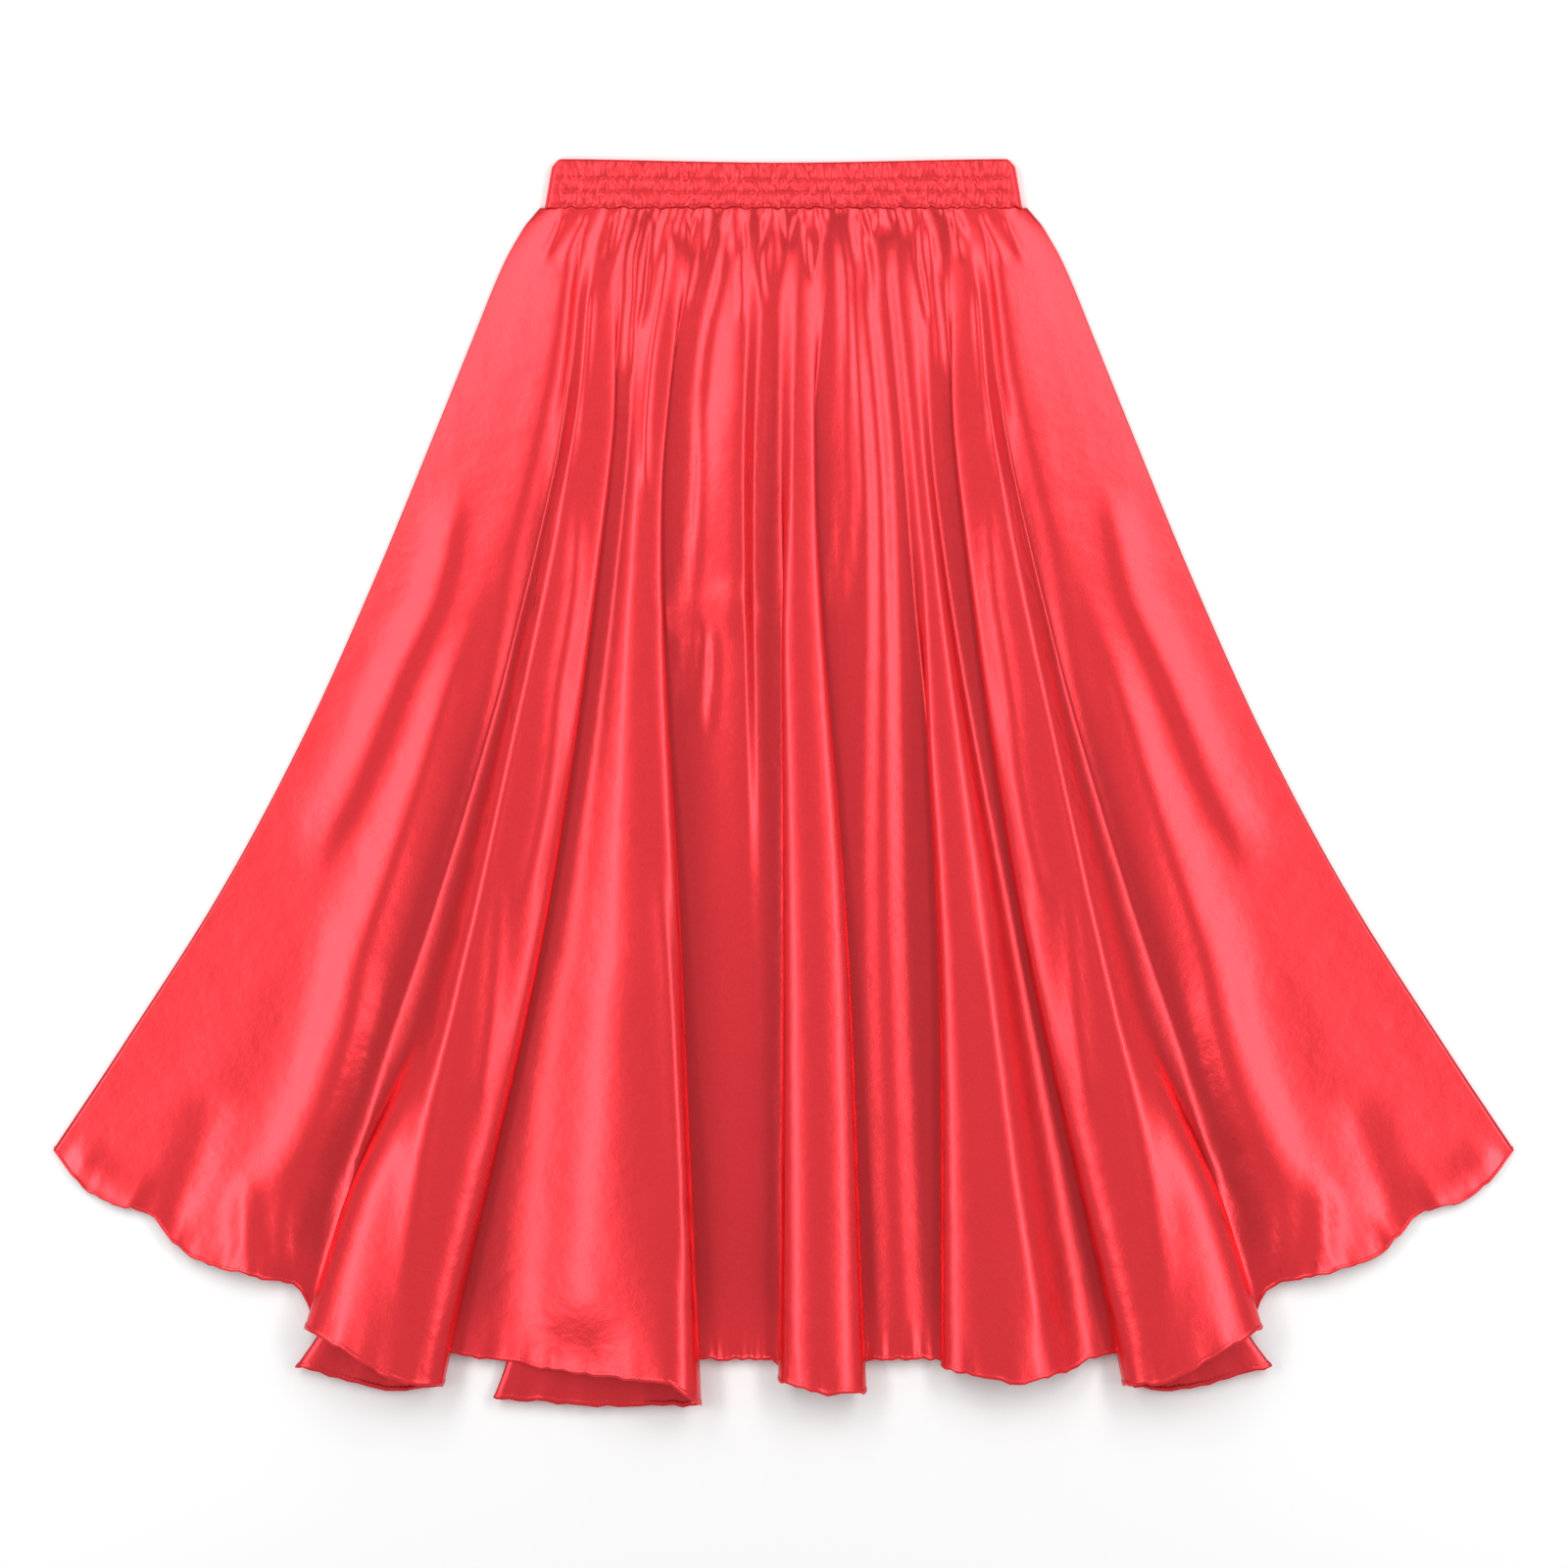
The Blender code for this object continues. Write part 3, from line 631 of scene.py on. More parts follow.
def pleat_points(pleat, down):
    """A knife pleat of the back: along the surface to its edge, back over that, and on again on top."""
    edge = at_stations(pleat.edge, down)
    depth = pleat.depth * max(0.0, down - PLEAT_START) / (SKIRT_LENGTH - PLEAT_START)
    turn = min(SMALL_TURN, depth / 4)
    to_edge = [-depth - PLEAT_RUN_OUT, -turn, 0]
    folded = np.array([*to_edge, -turn, turn - depth, -depth, turn - depth, PLEAT_OVER, PLEAT_RUN_OUT])
    standing = PLEAT_RUN_OUT * np.linspace(-1, 1, len(PLEAT_LEVELS))
    lying = smooth((down - PLEAT_STAND) / (PLEAT_START - PLEAT_STAND))
    x = edge + standing + (folded - standing) * lying
    return np.column_stack([x, LAYER * np.array(PLEAT_LEVELS), np.zeros(len(x))])


def back_row(t):
    """The back panel's row at t as (x, z, lip), from the left side edge to the right one."""
    down = SKIRT_LENGTH * t
    half = float(side_half_width(t))
    pleats = [pleat_points(pleat, down) for pleat in PLEATS]
    left, right = pleats[0][0, 0], pleats[-1][-1, 0]
    shares, flat = wing_shares(BACK_WING_POINTS), np.zeros(BACK_WING_POINTS)
    left_wing = np.column_stack([-half + shares * (half + left), flat, flat])
    right_wing = np.column_stack([half - shares * (half - right), flat, flat])[::-1]
    row = np.vstack([left_wing, *pleats, right_wing])
    row[:, 1] += BACK_LEVEL
    row[:, 2] -= BACK_SHORTER * smooth((half - np.abs(row[:, 0])) / BACK_SIDE_FADE)
    return row


def to_seam(row, t, seam_level, fade_points):
    """The row's heights, drawn to the seam's level above GATHER_REACH."""
    count = len(row)
    inward = smooth(np.minimum(np.arange(count), count - 1 - np.arange(count)) / fade_points)
    drawn = inward * (1 - smooth(SKIRT_LENGTH * t / GATHER_REACH))
    row[:, 1] += (seam_level - row[:, 1]) * drawn
    return row


def finer_columns(rows, step):
    """Adds points between the columns, on curves that never swing past their own points."""
    gaps = np.linalg.norm(np.diff(rows[:, :, :2], axis=1), axis=2) + 1e-6
    counts = np.clip(np.ceil(gaps.max(axis=0) / step), 1, COLUMN_SPLITS).astype(int)
    slope = np.diff(rows, axis=1) / gaps[:, :, None]
    tangent = np.zeros_like(rows)
    tangent[:, 0], tangent[:, -1] = slope[:, 0], slope[:, -1]
    before, after = slope[:, :-1], slope[:, 1:]
    w_before = (2 * gaps[:, 1:] + gaps[:, :-1])[:, :, None]
    w_after = (gaps[:, 1:] + 2 * gaps[:, :-1])[:, :, None]
    agree = before * after > TINY
    safe_before, safe_after = np.where(agree, before, 1), np.where(agree, after, 1)
    mean = (w_before + w_after) / (w_before / safe_before + w_after / safe_after)
    tangent[:, 1:-1] = np.where(agree, mean, 0)
    made = []
    for k, count in enumerate(counts):
        s = (np.arange(count) / count)[None, :, None]
        slopes = [tangent[:, i, None] * gaps[:, k, None, None] for i in (k, k + 1)]
        made.append(between(rows[:, k, None], rows[:, k + 1, None], *slopes, s))
    made.append(rows[:, -1:])
    return np.concatenate(made, axis=1)


def eased(grid):
    """The grid with its points drawn towards their neighbours along each row. The side edges stay."""
    for _ in range(EASE_ROUNDS):
        grid[:, 1:-1] += 0.5 * (0.5 * (grid[:, 2:] + grid[:, :-2]) - grid[:, 1:-1])
    return grid


def row_places(count, crowding):
    """The rows' places from 0 at the seam to 1 at the hem, with those of the hem's roll at the end."""
    last = 1 - HEM_ROLL[0].inset / SKIRT_LENGTH
    body = last * (np.arange(count) / count) ** crowding
    return np.concatenate([body, [1 - roll.inset / SKIRT_LENGTH for roll in HEM_ROLL]])


def panel_grid(row_at, places, seam_level, fade_points, step):
    """A panel's middle surface in millimetres, as an array (rows, columns, 3)."""
    rows = np.array([to_seam(row_at(t), t, seam_level, fade_points) for t in places])
    rows = eased(finer_columns(rows, step))
    t = places[:, None]
    share = np.minimum(1.0, np.abs(rows[:, :, 0]) / side_half_width(t))
    down = SKIRT_LENGTH * t - hem_rise(share) * t * t + rows[:, :, 2] * t**LIP_POWER
    return np.stack([rows[:, :, 0], SEAM_Y - down, rows[:, :, 1]], axis=2)


def panel_half(rows, cloth_half):
    """Half the panel's thickness in each row: the cloth's, then that of the rolled hem."""
    half = np.full(rows, cloth_half)
    half[-len(HEM_ROLL) :] = [roll.half for roll in HEM_ROLL]
    return half[:, None, None]


def uncovered(grid):
    """1 where a point of the grid is the topmost cloth, 0 where another layer lies on it."""
    shown = np.ones(grid.shape[:2])
    for i, row in enumerate(grid):
        x, z = row[:, 0], row[:, 2]
        low = x.min()
        tops = np.full(int((x.max() - low) / COVER_CELL) + 2, -np.inf)
        for share in np.linspace(0, 1, COVER_STEPS):
            near_x, near_z = x[:-1] + share * np.diff(x), z[:-1] + share * np.diff(z)
            np.maximum.at(tops, ((near_x - low) / COVER_CELL).astype(int), near_z)
        gap = tops[((x - low) / COVER_CELL).astype(int)] - z
        shown[i] = 1 - smooth((gap - 0.5 * LAYER) / (0.5 * LAYER))
    return shown


def painted_hollow_shade(grid, shown, hollow):
    """0 to 1: painted shade, by how deep each point lies in a hollow between the ridges round it. Covered
    cloth is 1.
    """
    x, y, z = (grid[:, :, k] for k in range(3))
    column, row = (x - x.min()) / PAINTED_SHADE_CELL, (y - y.min()) / PAINTED_SHADE_CELL
    left, below = column.astype(int), row.astype(int)
    total = np.zeros((below.max() + 2, left.max() + 2))
    weight = np.zeros(total.shape)
    np.add.at(total, (below, left), z * shown)
    np.add.at(weight, (below, left), shown)
    reach = int(hollow.reach * PAINTED_SHADE_KERNEL / PAINTED_SHADE_CELL)
    kernel = np.exp(-0.5 * (np.arange(-reach, reach + 1) * PAINTED_SHADE_CELL / hollow.reach) ** 2)

    def blurred(field):
        for _ in range(2):
            field = np.apply_along_axis(lambda line: np.convolve(line, kernel, mode="same"), 1, field).T
        return field

    level = blurred(total) / np.maximum(blurred(weight), 1e-6)
    right_share, above_share = column - left, row - below
    lower = level[below, left] * (1 - right_share) + level[below, left + 1] * right_share
    upper = level[below + 1, left] * (1 - right_share) + level[below + 1, left + 1] * right_share
    near_level = lower * (1 - above_share) + upper * above_share
    deep = smooth((near_level + PAINTED_SHADE_RISE - z) / hollow.depth)
    return 1 - shown * (1 - deep)


def painted_seam_shade(x, y, gathered):
    """0 to 1: painted shade in each hollow between the gathers, darkest at the waist seam."""
    near = np.exp(-(((SEAM_Y - y) / PAINTED_SEAM_SHADE_REACH) ** 2))
    inside = smooth((PAINTED_SEAM_SHADE_HALF * SEAM_HALF - np.abs(x)) / PAINTED_SEAM_SHADE_FADE)
    return near * inside * (1 - smooth(gathered / PAINTED_SEAM_SHADE_TOP))


def smooth_line(points, count):
    """Points evenly along a smooth curve through the given ones."""
    points = np.array(points, float)
    reach = np.concatenate([[0], np.cumsum(np.hypot(*np.diff(points, axis=0).T))])
    at = np.linspace(0, reach[-1], count)
    return np.column_stack([through(reach, points[:, k], at) for k in (0, 1)])


def along_line(values, along):
    """A crease's value at each share of the way along it."""
    return np.interp(along, np.linspace(0, 1, len(values)), values)


def crease_lift(x, y, line, left, right, height, ends=CREASE_ENDS):
    """How far one crease lifts each point (x, y)."""
    line = smooth_line(line, CREASE_STEPS)
    reach = CREASE_REACH * max(*left, *right)
    low, high = line.min(axis=0) - reach, line.max(axis=0) + reach
    near = (x > low[0]) & (x < high[0]) & (y > low[1]) & (y < high[1])
    px, py = x[near], y[near]
    best, along, to_left = (np.full(px.shape, value) for value in (np.inf, 0.0, 0.0))
    for k, (a, b) in enumerate(zip(line, line[1:])):
        ab = b - a
        s = np.clip(((px - a[0]) * ab[0] + (py - a[1]) * ab[1]) / (ab @ ab), 0, 1)
        across, down = px - a[0] - s * ab[0], py - a[1] - s * ab[1]
        distance = np.hypot(across, down)
        closer = distance < best
        best[closer] = distance[closer]
        to_left[closer] = across[closer] < 0
        along[closer] = (k + s[closer]) / (len(line) - 1)
    left_width, right_width = along_line(left, along), along_line(right, along)
    widths = np.where(to_left, left_width, right_width)
    fade = smooth(along / ends) * smooth((1 - along) / ends)
    steepest = CREASE_STEEP * np.minimum(left_width, right_width)
    height = np.clip(along_line(height, along), -steepest, steepest)
    lift = np.zeros(x.shape)
    lift[near] = height * fade * np.exp(-((best / widths) ** 2))
    return lift


def creases_lift(x, y, creases):
    """How far all the creases and their twins lift each point."""
    lift = np.zeros(x.shape)
    for crease in creases:
        left, right = crease.left, crease.right or crease.left
        lift += crease_lift(x, y, crease.line, left, right, crease.height)
        if crease.twin:
            line = [(-px, py) for px, py in crease.line]
            lift += crease_lift(x, y, line, right, left, crease.height)
    return lift


def gathers_lift(x, y, gathers):
    """Short uneven gathers below the waist seam. They fan out with the cloth."""
    draw = np.random.default_rng(gathers.seed)
    lift = np.zeros(x.shape)
    for k in range(gathers.count):
        place = (2 * (k + draw.uniform(0, 1)) / gathers.count - 1) * gathers.reach
        length = draw.uniform(0, 1) ** 2 * (gathers.length[1] - gathers.length[0]) + gathers.length[0]
        width = draw.uniform(*gathers.width)
        height = draw.uniform(*gathers.height)
        start = (place * SEAM_HALF, SEAM_Y + GATHER_ABOVE * length)
        end = (place * float(side_half_width(length / SKIRT_LENGTH)), SEAM_Y - length)
        widths = (width, GATHER_SPREAD * width)
        lift += crease_lift(x, y, (start, end), widths, widths, (height, height), GATHER_ENDS)
    return lift


def hem_waves(grid, seed):
    """Draws the cloth by the hem into small uneven waves along it."""
    draw = np.random.default_rng(seed)
    step = np.linalg.norm(np.diff(grid[-1], axis=0), axis=1)
    along = np.concatenate([[0], np.cumsum(step)])
    lift, shift = np.zeros(len(along)), np.zeros(len(along))
    for length in HEM_WAVES:
        wander = HEM_WAVE_WANDER * np.sin(along / (HEM_WANDER_LENGTH * length) + draw.uniform(*ANY_PHASE))
        turn = 2 * math.pi * along / length
        lift += np.sin(turn + wander + draw.uniform(*ANY_PHASE)) / len(HEM_WAVES)
        shift += np.sin(turn + 2 * wander + draw.uniform(*ANY_PHASE)) / len(HEM_WAVES)
    ends = smooth(along / HEM_WAVES[0]) * smooth((along[-1] - along) / HEM_WAVES[0])
    below = np.linalg.norm(grid - grid[-1], axis=2)
    near = np.exp(-((below / HEM_WAVE_REACH) ** 2))
    grid[:, :, 2] += HEM_WAVE_LIFT * lift * ends * near
    grid[:, :, 1] += HEM_WAVE_SHIFT * shift * ends * near
    return grid


def seam_wave(x):
    """How far the waist seam wanders along the skirt."""
    share = smooth((SEAM_HALF - np.abs(x)) / SEAM_WAVE_FADE)
    waves = sum(np.sin(x / length + k) for k, length in enumerate(SEAM_WAVES))
    return SEAM_WANDER * share * waves / len(SEAM_WAVES)


Surface = namedtuple("Surface", "grid half deep")


@lru_cache(maxsize=None)
def back_surface(thickness, step, rows):
    """The back panel's middle surface, half its thickness in each row, and its painted shade, which is none.
    It lies on its folds, so its gathers and creases only lift the single cloth between them."""
    places = row_places(rows, BACK_CROWDING)
    grid = panel_grid(back_row, places, BACK_SEAM_LEVEL, BACK_WING_POINTS, step)
    half = panel_half(len(places), 0.5 * thickness)
    x, y = grid[:, :, 0], grid[:, :, 1].copy()
    lift = sum(gathers_lift(x, y, gathers) for gathers in BACK_GATHERS) + creases_lift(x, y, BACK_CREASES)
    single = 1 - smooth((grid[:, :, 2] - BACK_LEVEL - BACK_SEAM_LEVEL) / LAYER)
    grid[:, :, 2] += lift * single
    grid = hem_waves(grid, BACK_HEM_SEED)
    grid[:, :, 1] += seam_wave(x) * np.exp((y - SEAM_Y) / SEAM_WAVE_REACH)
    grid[:, :, 2] = np.maximum(grid[:, :, 2], half[:, :, 0])
    return Surface(grid, half, np.zeros(grid.shape[:2]))


@lru_cache(maxsize=None)
def front_surface(thickness, step, rows):
    """The front panel's middle surface, half its thickness in each row, and its painted shade."""
    places = row_places(rows, FRONT_CROWDING)
    grid = panel_grid(front_row, places, FRONT_SEAM_LEVEL, WING_POINTS, step)
    shown = uncovered(grid)
    x, y = grid[:, :, 0], grid[:, :, 1].copy()
    gathered = sum(gathers_lift(x, y, gathers) for gathers in FRONT_GATHERS)
    grid[:, :, 2] += (creases_lift(x, y, FRONT_CREASES) + gathered) * shown
    grid = hem_waves(grid, HEM_SEED)
    grid[:, :, 1] += seam_wave(x) * np.exp((y - SEAM_Y) / SEAM_WAVE_REACH)
    # Painted shade: the satin is darker in the hollows between the ridges and between the gathers, and less
    # so by the open hem
    deep = np.maximum(*[painted_hollow_shade(grid, shown, hollow) for hollow in PAINTED_SHADE_SCALES])
    deep = np.maximum(deep, painted_seam_shade(x, y, gathered))
    deep *= 1 - PAINTED_SHADE_HEM_CUT * smooth((places[:, None] - PAINTED_SHADE_HEM_FROM) / PAINTED_SHADE_HEM_OVER)
    return Surface(grid, panel_half(len(places), 0.5 * thickness), deep)


def panel_surfaces(cloth):
    """The front's surface and the back's, at the sizes set for the cloth."""
    thickness, step = cloth.thickness / MM, cloth.step / MM
    return front_surface(thickness, step, cloth.front_rows), back_surface(thickness, step, cloth.back_rows)


def band_half_width(down):
    """Half the band's width: it widens a little towards the seam, and its top corners are round."""
    widened = BAND_TOP_HALF + (BAND_BOTTOM_HALF - BAND_TOP_HALF) * down / BAND_HEIGHT
    return widened - BAND_CORNER * (1 - smooth(down / (2 * BAND_CORNER)))


def band_loop(depth, half):
    """Points (x, z) round the flattened loop, that deep inside its outer face."""
    radius = BAND_MIDDLE - depth
    straight = half - depth - radius
    front = np.linspace(-straight, straight, BAND_FRONT_COLUMNS, endpoint=False)
    back = np.linspace(straight, -straight, BAND_BACK_COLUMNS, endpoint=False)
    turns = math.pi * np.arange(BAND_END_COLUMNS) / BAND_END_COLUMNS
    end = np.column_stack([np.sin(turns), np.cos(turns)])
    up, down = np.tile([0.0, 1.0], (BAND_FRONT_COLUMNS, 1)), np.tile([0.0, -1.0], (BAND_BACK_COLUMNS, 1))
    out = np.concatenate([up, end, down, -end])
    ends = np.full(BAND_END_COLUMNS, straight)
    x = np.concatenate([front, ends, back, -ends])
    return np.column_stack([x + radius * out[:, 0], BAND_MIDDLE + radius * out[:, 1]])


def band_section():
    """The casing's wall (down, depth): its outer face, its lower edge, up inside it and over the top."""
    first, last = BAND_TOP_FOLD, BAND_HEIGHT - BAND_LOWER_FOLD
    outer = [(down, 0.0) for down in np.linspace(first, last, BAND_FACE_ROWS)]
    lower = [(BAND_HEIGHT - up, depth) for up, depth in BAND_LOWER_EDGE]
    inner = [(down, BAND_WALL) for down in np.linspace(last, first, BAND_INNER_ROWS)]
    turns = math.pi * np.arange(1, BAND_EDGE_TURNS + 1) / (BAND_EDGE_TURNS + 1)
    top = [(first - first * math.sin(a), 0.5 * BAND_WALL * (1 + math.cos(a))) for a in turns]
    return outer + lower + inner + top


def pucker_lift(along, down, draw):
    """The shirring's puckers on one face of the band: bulges in each channel, pinched at the stitching."""
    lift = np.zeros(along.shape)
    edges = (0.0, *BAND_STITCH_ROWS, BAND_HEIGHT)
    reach = along.max() - along.min()
    count = int(reach / BAND_PUCKERS.spacing)
    for low, high in zip(edges, edges[1:]):
        share = (down - low) / (high - low)
        inside = (share >= 0) & (share <= 1)
        bulge = np.where(inside, np.sin(math.pi * np.clip(share, 0, 1)) ** PUCKER_BULGE, 0)
        for k in range(count):
            place = along.min() + reach * (k + draw.uniform(*PUCKER_PLACES)) / count
            width = draw.uniform(*BAND_PUCKERS.width)
            height = draw.uniform(*BAND_PUCKERS.lift)
            slant = draw.uniform(-BAND_PUCKERS.slant, BAND_PUCKERS.slant)
            middle = draw.uniform(*PUCKER_PLACES)
            skewed = along - place - slant * (share - 0.5) * (high - low)
            long = np.exp(-(((share - middle) / PUCKER_LENGTH) ** 2))
            lift += height * np.exp(-((skewed / width) ** 2)) * bulge * long
        lift -= BAND_VALLEY * bulge * inside
    return lift


def stitch_dips(down):
    """How deep the rows of stitching draw the casing in."""
    return sum(STITCH_DIP * np.exp(-(((down - row) / STITCH_DIP_WIDTH) ** 2)) for row in BAND_STITCH_ROWS)


def band_grid():
    """The casing's points round and round its loop, how far down each row lies, and the points' painted
    shade.
    """
    section = band_section()
    grid = []
    for down, depth in section:
        x, z = band_loop(depth, float(band_half_width(down))).T
        dip = BAND_TOP_DIP * (1 - smooth(np.abs(x) / BAND_BOTTOM_HALF)) * (1 - down / BAND_HEIGHT)
        wave = seam_wave(x) * (down / BAND_HEIGHT) ** BAND_WAVE_POWER
        grid.append(np.column_stack([x, TOP_Y - down - dip + wave, z]))
    grid = np.array(grid)
    draw = np.random.default_rng(BAND_PUCKERS.seed)
    down = np.array([row[0] for row in section])[:, None] * np.ones(grid.shape[1])
    outside = np.array([row[1] < 0.5 * BAND_WALL for row in section])[:, None]
    deep = np.zeros(down.shape)
    front = slice(0, BAND_FRONT_COLUMNS)
    back = slice(BAND_FRONT_COLUMNS + BAND_END_COLUMNS, -BAND_END_COLUMNS)
    for face, side, share in ((front, 1, 1.0), (back, -1, BAND_BACK_SHARE)):
        x, face_down = grid[:, face, 0], down[:, face]
        fade = smooth((band_half_width(face_down) - np.abs(x)) / BAND_END_FADE)
        lift = pucker_lift(x, face_down, draw) * fade * outside * share
        grid[:, face, 2] += side * (lift - stitch_dips(face_down) * fade * outside)
        # Painted shade in the dips between the puckers
        deep[:, face] = smooth((BAND_PAINTED_SHADE_LIFT - lift) / BAND_PAINTED_SHADE_DEPTH) * fade * outside
    grid[:, :, 2] = np.maximum(grid[:, :, 2], 0.0)
    return grid, down[:, 0], deep


def normals_of(grid):
    """The direction out of the surface at each point of a grid."""
    normal = np.cross(np.gradient(grid, axis=0), np.gradient(grid, axis=1))
    return normal / (np.linalg.norm(normal, axis=2, keepdims=True) + TINY)


def raised(grid, row, lift):
    """One row of a grid of points, moved out of the surface."""
    return grid[row] + normals_of(grid)[row] * lift


def grid_faces(numbers):
    """The quads between the rows and columns of an array of point numbers."""
    corners = (numbers[:-1, :-1], numbers[1:, :-1], numbers[1:, 1:], numbers[:-1, 1:])
    return np.stack(corners, axis=2).reshape(-1, 4)


def mesh_from(name, points, faces, uv):
    """A smooth mesh of quads, with its points and its weave map in millimetres and its faces outwards."""
    a, b, c, d = (points[faces[:, k]] for k in range(4))
    if np.sum(a * np.cross(b, c) + a * np.cross(c, d)) < 0:
        faces = faces[:, ::-1]
    mesh = bpy.data.meshes.new(name)
    mesh.vertices.add(len(points))
    mesh.vertices.foreach_set("co", (points * MM).astype(np.float32).ravel())
    mesh.loops.add(faces.size)
    mesh.loops.foreach_set("vertex_index", faces.astype(np.int32).ravel())
    mesh.polygons.add(len(faces))
    mesh.polygons.foreach_set("loop_start", np.arange(0, faces.size, 4, dtype=np.int32))
    mesh.update(calc_edges=True)
    mesh.validate()
    mesh.shade_smooth()
    layer = mesh.uv_layers.new(name=WEAVE_MAP)
    layer.data.foreach_set("uv", (uv * MM)[faces.ravel()].astype(np.float32).ravel())
    return mesh


def piece(name, mesh):
    """A new object in the scene, at the origin."""
    made = bpy.data.objects.new(name, mesh)
    bpy.context.scene.collection.objects.link(made)
    return made


def shell(name, grid, half):
    """A closed thin mesh, half to either side of a grid of points in millimetres."""
    rows, columns = grid.shape[:2]
    normal = normals_of(grid)
    outer, inner = grid + normal * half, grid - normal * half
    points = np.concatenate([outer.reshape(-1, 3), inner.reshape(-1, 3)])
    numbers = np.arange(rows * columns).reshape(rows, columns)
    top = grid_faces(numbers)
    faces = [top, top[:, ::-1] + rows * columns]
    for line in (numbers[0], numbers[-1][::-1], numbers[:, 0][::-1], numbers[:, -1]):
        faces.append(grid_faces(np.stack([line, line + rows * columns], axis=1)))
    across = np.linalg.norm(np.diff(grid[-1], axis=0), axis=1)
    u = np.concatenate([[0], np.cumsum(across)])
    v = -np.linalg.norm(grid[:, columns // 2] - grid[0, columns // 2], axis=1)
    uv = np.stack(np.meshgrid(u, v), axis=2).reshape(-1, 2)
    return piece(name, mesh_from(name, points, np.concatenate(faces), np.concatenate([uv, uv])))


def tube_shell(name, grid, u, v):
    """A closed mesh from a grid of points that closes on itself along its rows and its columns."""
    numbers = np.arange(grid[:, :, 0].size).reshape(grid.shape[:2])
    numbers = np.pad(numbers, ((0, 1), (0, 1)), mode="wrap")
    uv = np.stack(np.meshgrid(u, v), axis=2).reshape(-1, 2)
    return piece(name, mesh_from(name, grid.reshape(-1, 3), grid_faces(numbers), uv))


def store_painted_shade(made, deep):
    """Keeps each point's painted shade on the mesh, for the satin. The inside of a panel has half the
    painted shade.
    """
    layer = made.data.attributes.new(PAINTED_SHADE_MAP, "FLOAT", "POINT")
    values = np.full(len(made.data.vertices), INSIDE_PAINTED_SHADE, np.float32)
    values[: deep.size] = deep.ravel()
    layer.data.foreach_set("value", values)


def hex_colour(code):
    """A linear colour from an sRGB hex value."""
    parts = [int(code[k : k + 2], 16) / 255 for k in (0, 2, 4)]
    return tuple(c / 12.92 if c <= 0.04045 else ((c + 0.055) / 1.055) ** 2.4 for c in parts)


def add_node(tree, kind, settings=None, values=None, links=None):
    """Adds a node: settings are its own choices, values its sockets' constants, links what feeds them."""
    made = tree.nodes.new(kind)
    for name, value in (settings or {}).items():
        setattr(made, name, value)
    for socket, value in (values or {}).items():
        made.inputs[socket].default_value = value
    for socket, source in (links or {}).items():
        tree.links.new(source, made.inputs[socket])
    return made


def new_material(name, values):
    """A material, its nodes and its shader, with the shader's constants set."""
    material = bpy.data.materials.new(name)
    material.use_nodes = True
    shader = material.node_tree.nodes["Principled BSDF"]
    for socket, value in values.items():
        shader.inputs[socket].default_value = value
    return material, material.node_tree, shader


def add_bump(tree, height, strength, distance, below=None):
    """A bump from a height, on top of another one where there is one."""
    values = {"Strength": strength, "Distance": distance}
    links = {"Height": height} | ({"Normal": below} if below else {})
    return add_node(tree, "ShaderNodeBump", values=values, links=links).outputs["Normal"]


def satin_material(satin, colour):
    """Polyester satin, warp-faced: long floats give it a broad sheen across the threads and a short one
    along them, with a fine grain in the highlights and a soft crumple."""
    values = {"Roughness": satin.roughness, "Metallic": 0.7, "Anisotropic": 0.5, "Specular IOR Level": 0.5}
    material, tree, shader = new_material(satin.name, values)
    place = add_node(tree, "ShaderNodeTexCoord").outputs["Object"]
    tangent = add_node(tree, "ShaderNodeTangent", {"direction_type": "UV_MAP", "uv_map": WEAVE_MAP})
    # Threads are 0.1 mm apart, too fine to show, so the grain is drawn 1.2 mm wide and 2 mm long
    stretched = add_node(tree, "ShaderNodeMapping", values={"Scale": (1, 0.6, 1)}, links={"Vector": place})
    grain = add_node(
        tree,
        "ShaderNodeTexNoise",
        values={"Scale": 1 / GRAIN_WIDTH, "Detail": 2.0},
        links={"Vector": stretched.outputs["Vector"]},
    ).outputs["Fac"]
    crumple = add_node(
        tree,
        "ShaderNodeTexNoise",
        values={"Scale": 1 / CRUMPLE_SIZE, "Detail": 3.0, "Roughness": 0.55},
        links={"Vector": place},
    ).outputs["Fac"]
    crumpled = add_bump(tree, crumple, 0.7, CRUMPLE_DEPTH)
    grained = add_bump(tree, grain, 0.6, GRAIN_DEPTH, crumpled)
    tint = add_node(
        tree,
        "ShaderNodeMapRange",
        values={"From Min": 0.3, "From Max": 0.7, "To Min": 0.94, "To Max": 1.04},
        links={"Value": grain},
    )
    # Painted shade: the hollow map mixes the colour towards deep, a darker copy, to stand in for shade in
    # the hollows
    hollow = add_node(tree, "ShaderNodeAttribute", {"attribute_name": PAINTED_SHADE_MAP})
    deep = tuple(c * satin.shade for c in colour)
    base = add_node(
        tree,
        "ShaderNodeMix",
        {"data_type": "RGBA"},
        values={MIX_COLOURS[0]: (*colour, 1), MIX_COLOURS[1]: (*deep, 1)},
        links={"Factor": hollow.outputs["Fac"]},
    )
    tinted = add_node(
        tree,
        "ShaderNodeHueSaturation",
        links={"Color": base.outputs[MIX_RESULT], "Value": tint.outputs["Result"]},
    )
    tree.links.new(tinted.outputs["Color"], shader.inputs["Base Color"])
    tree.links.new(grained, shader.inputs["Normal"])
    tree.links.new(tangent.outputs["Tangent"], shader.inputs["Tangent"])
    return material


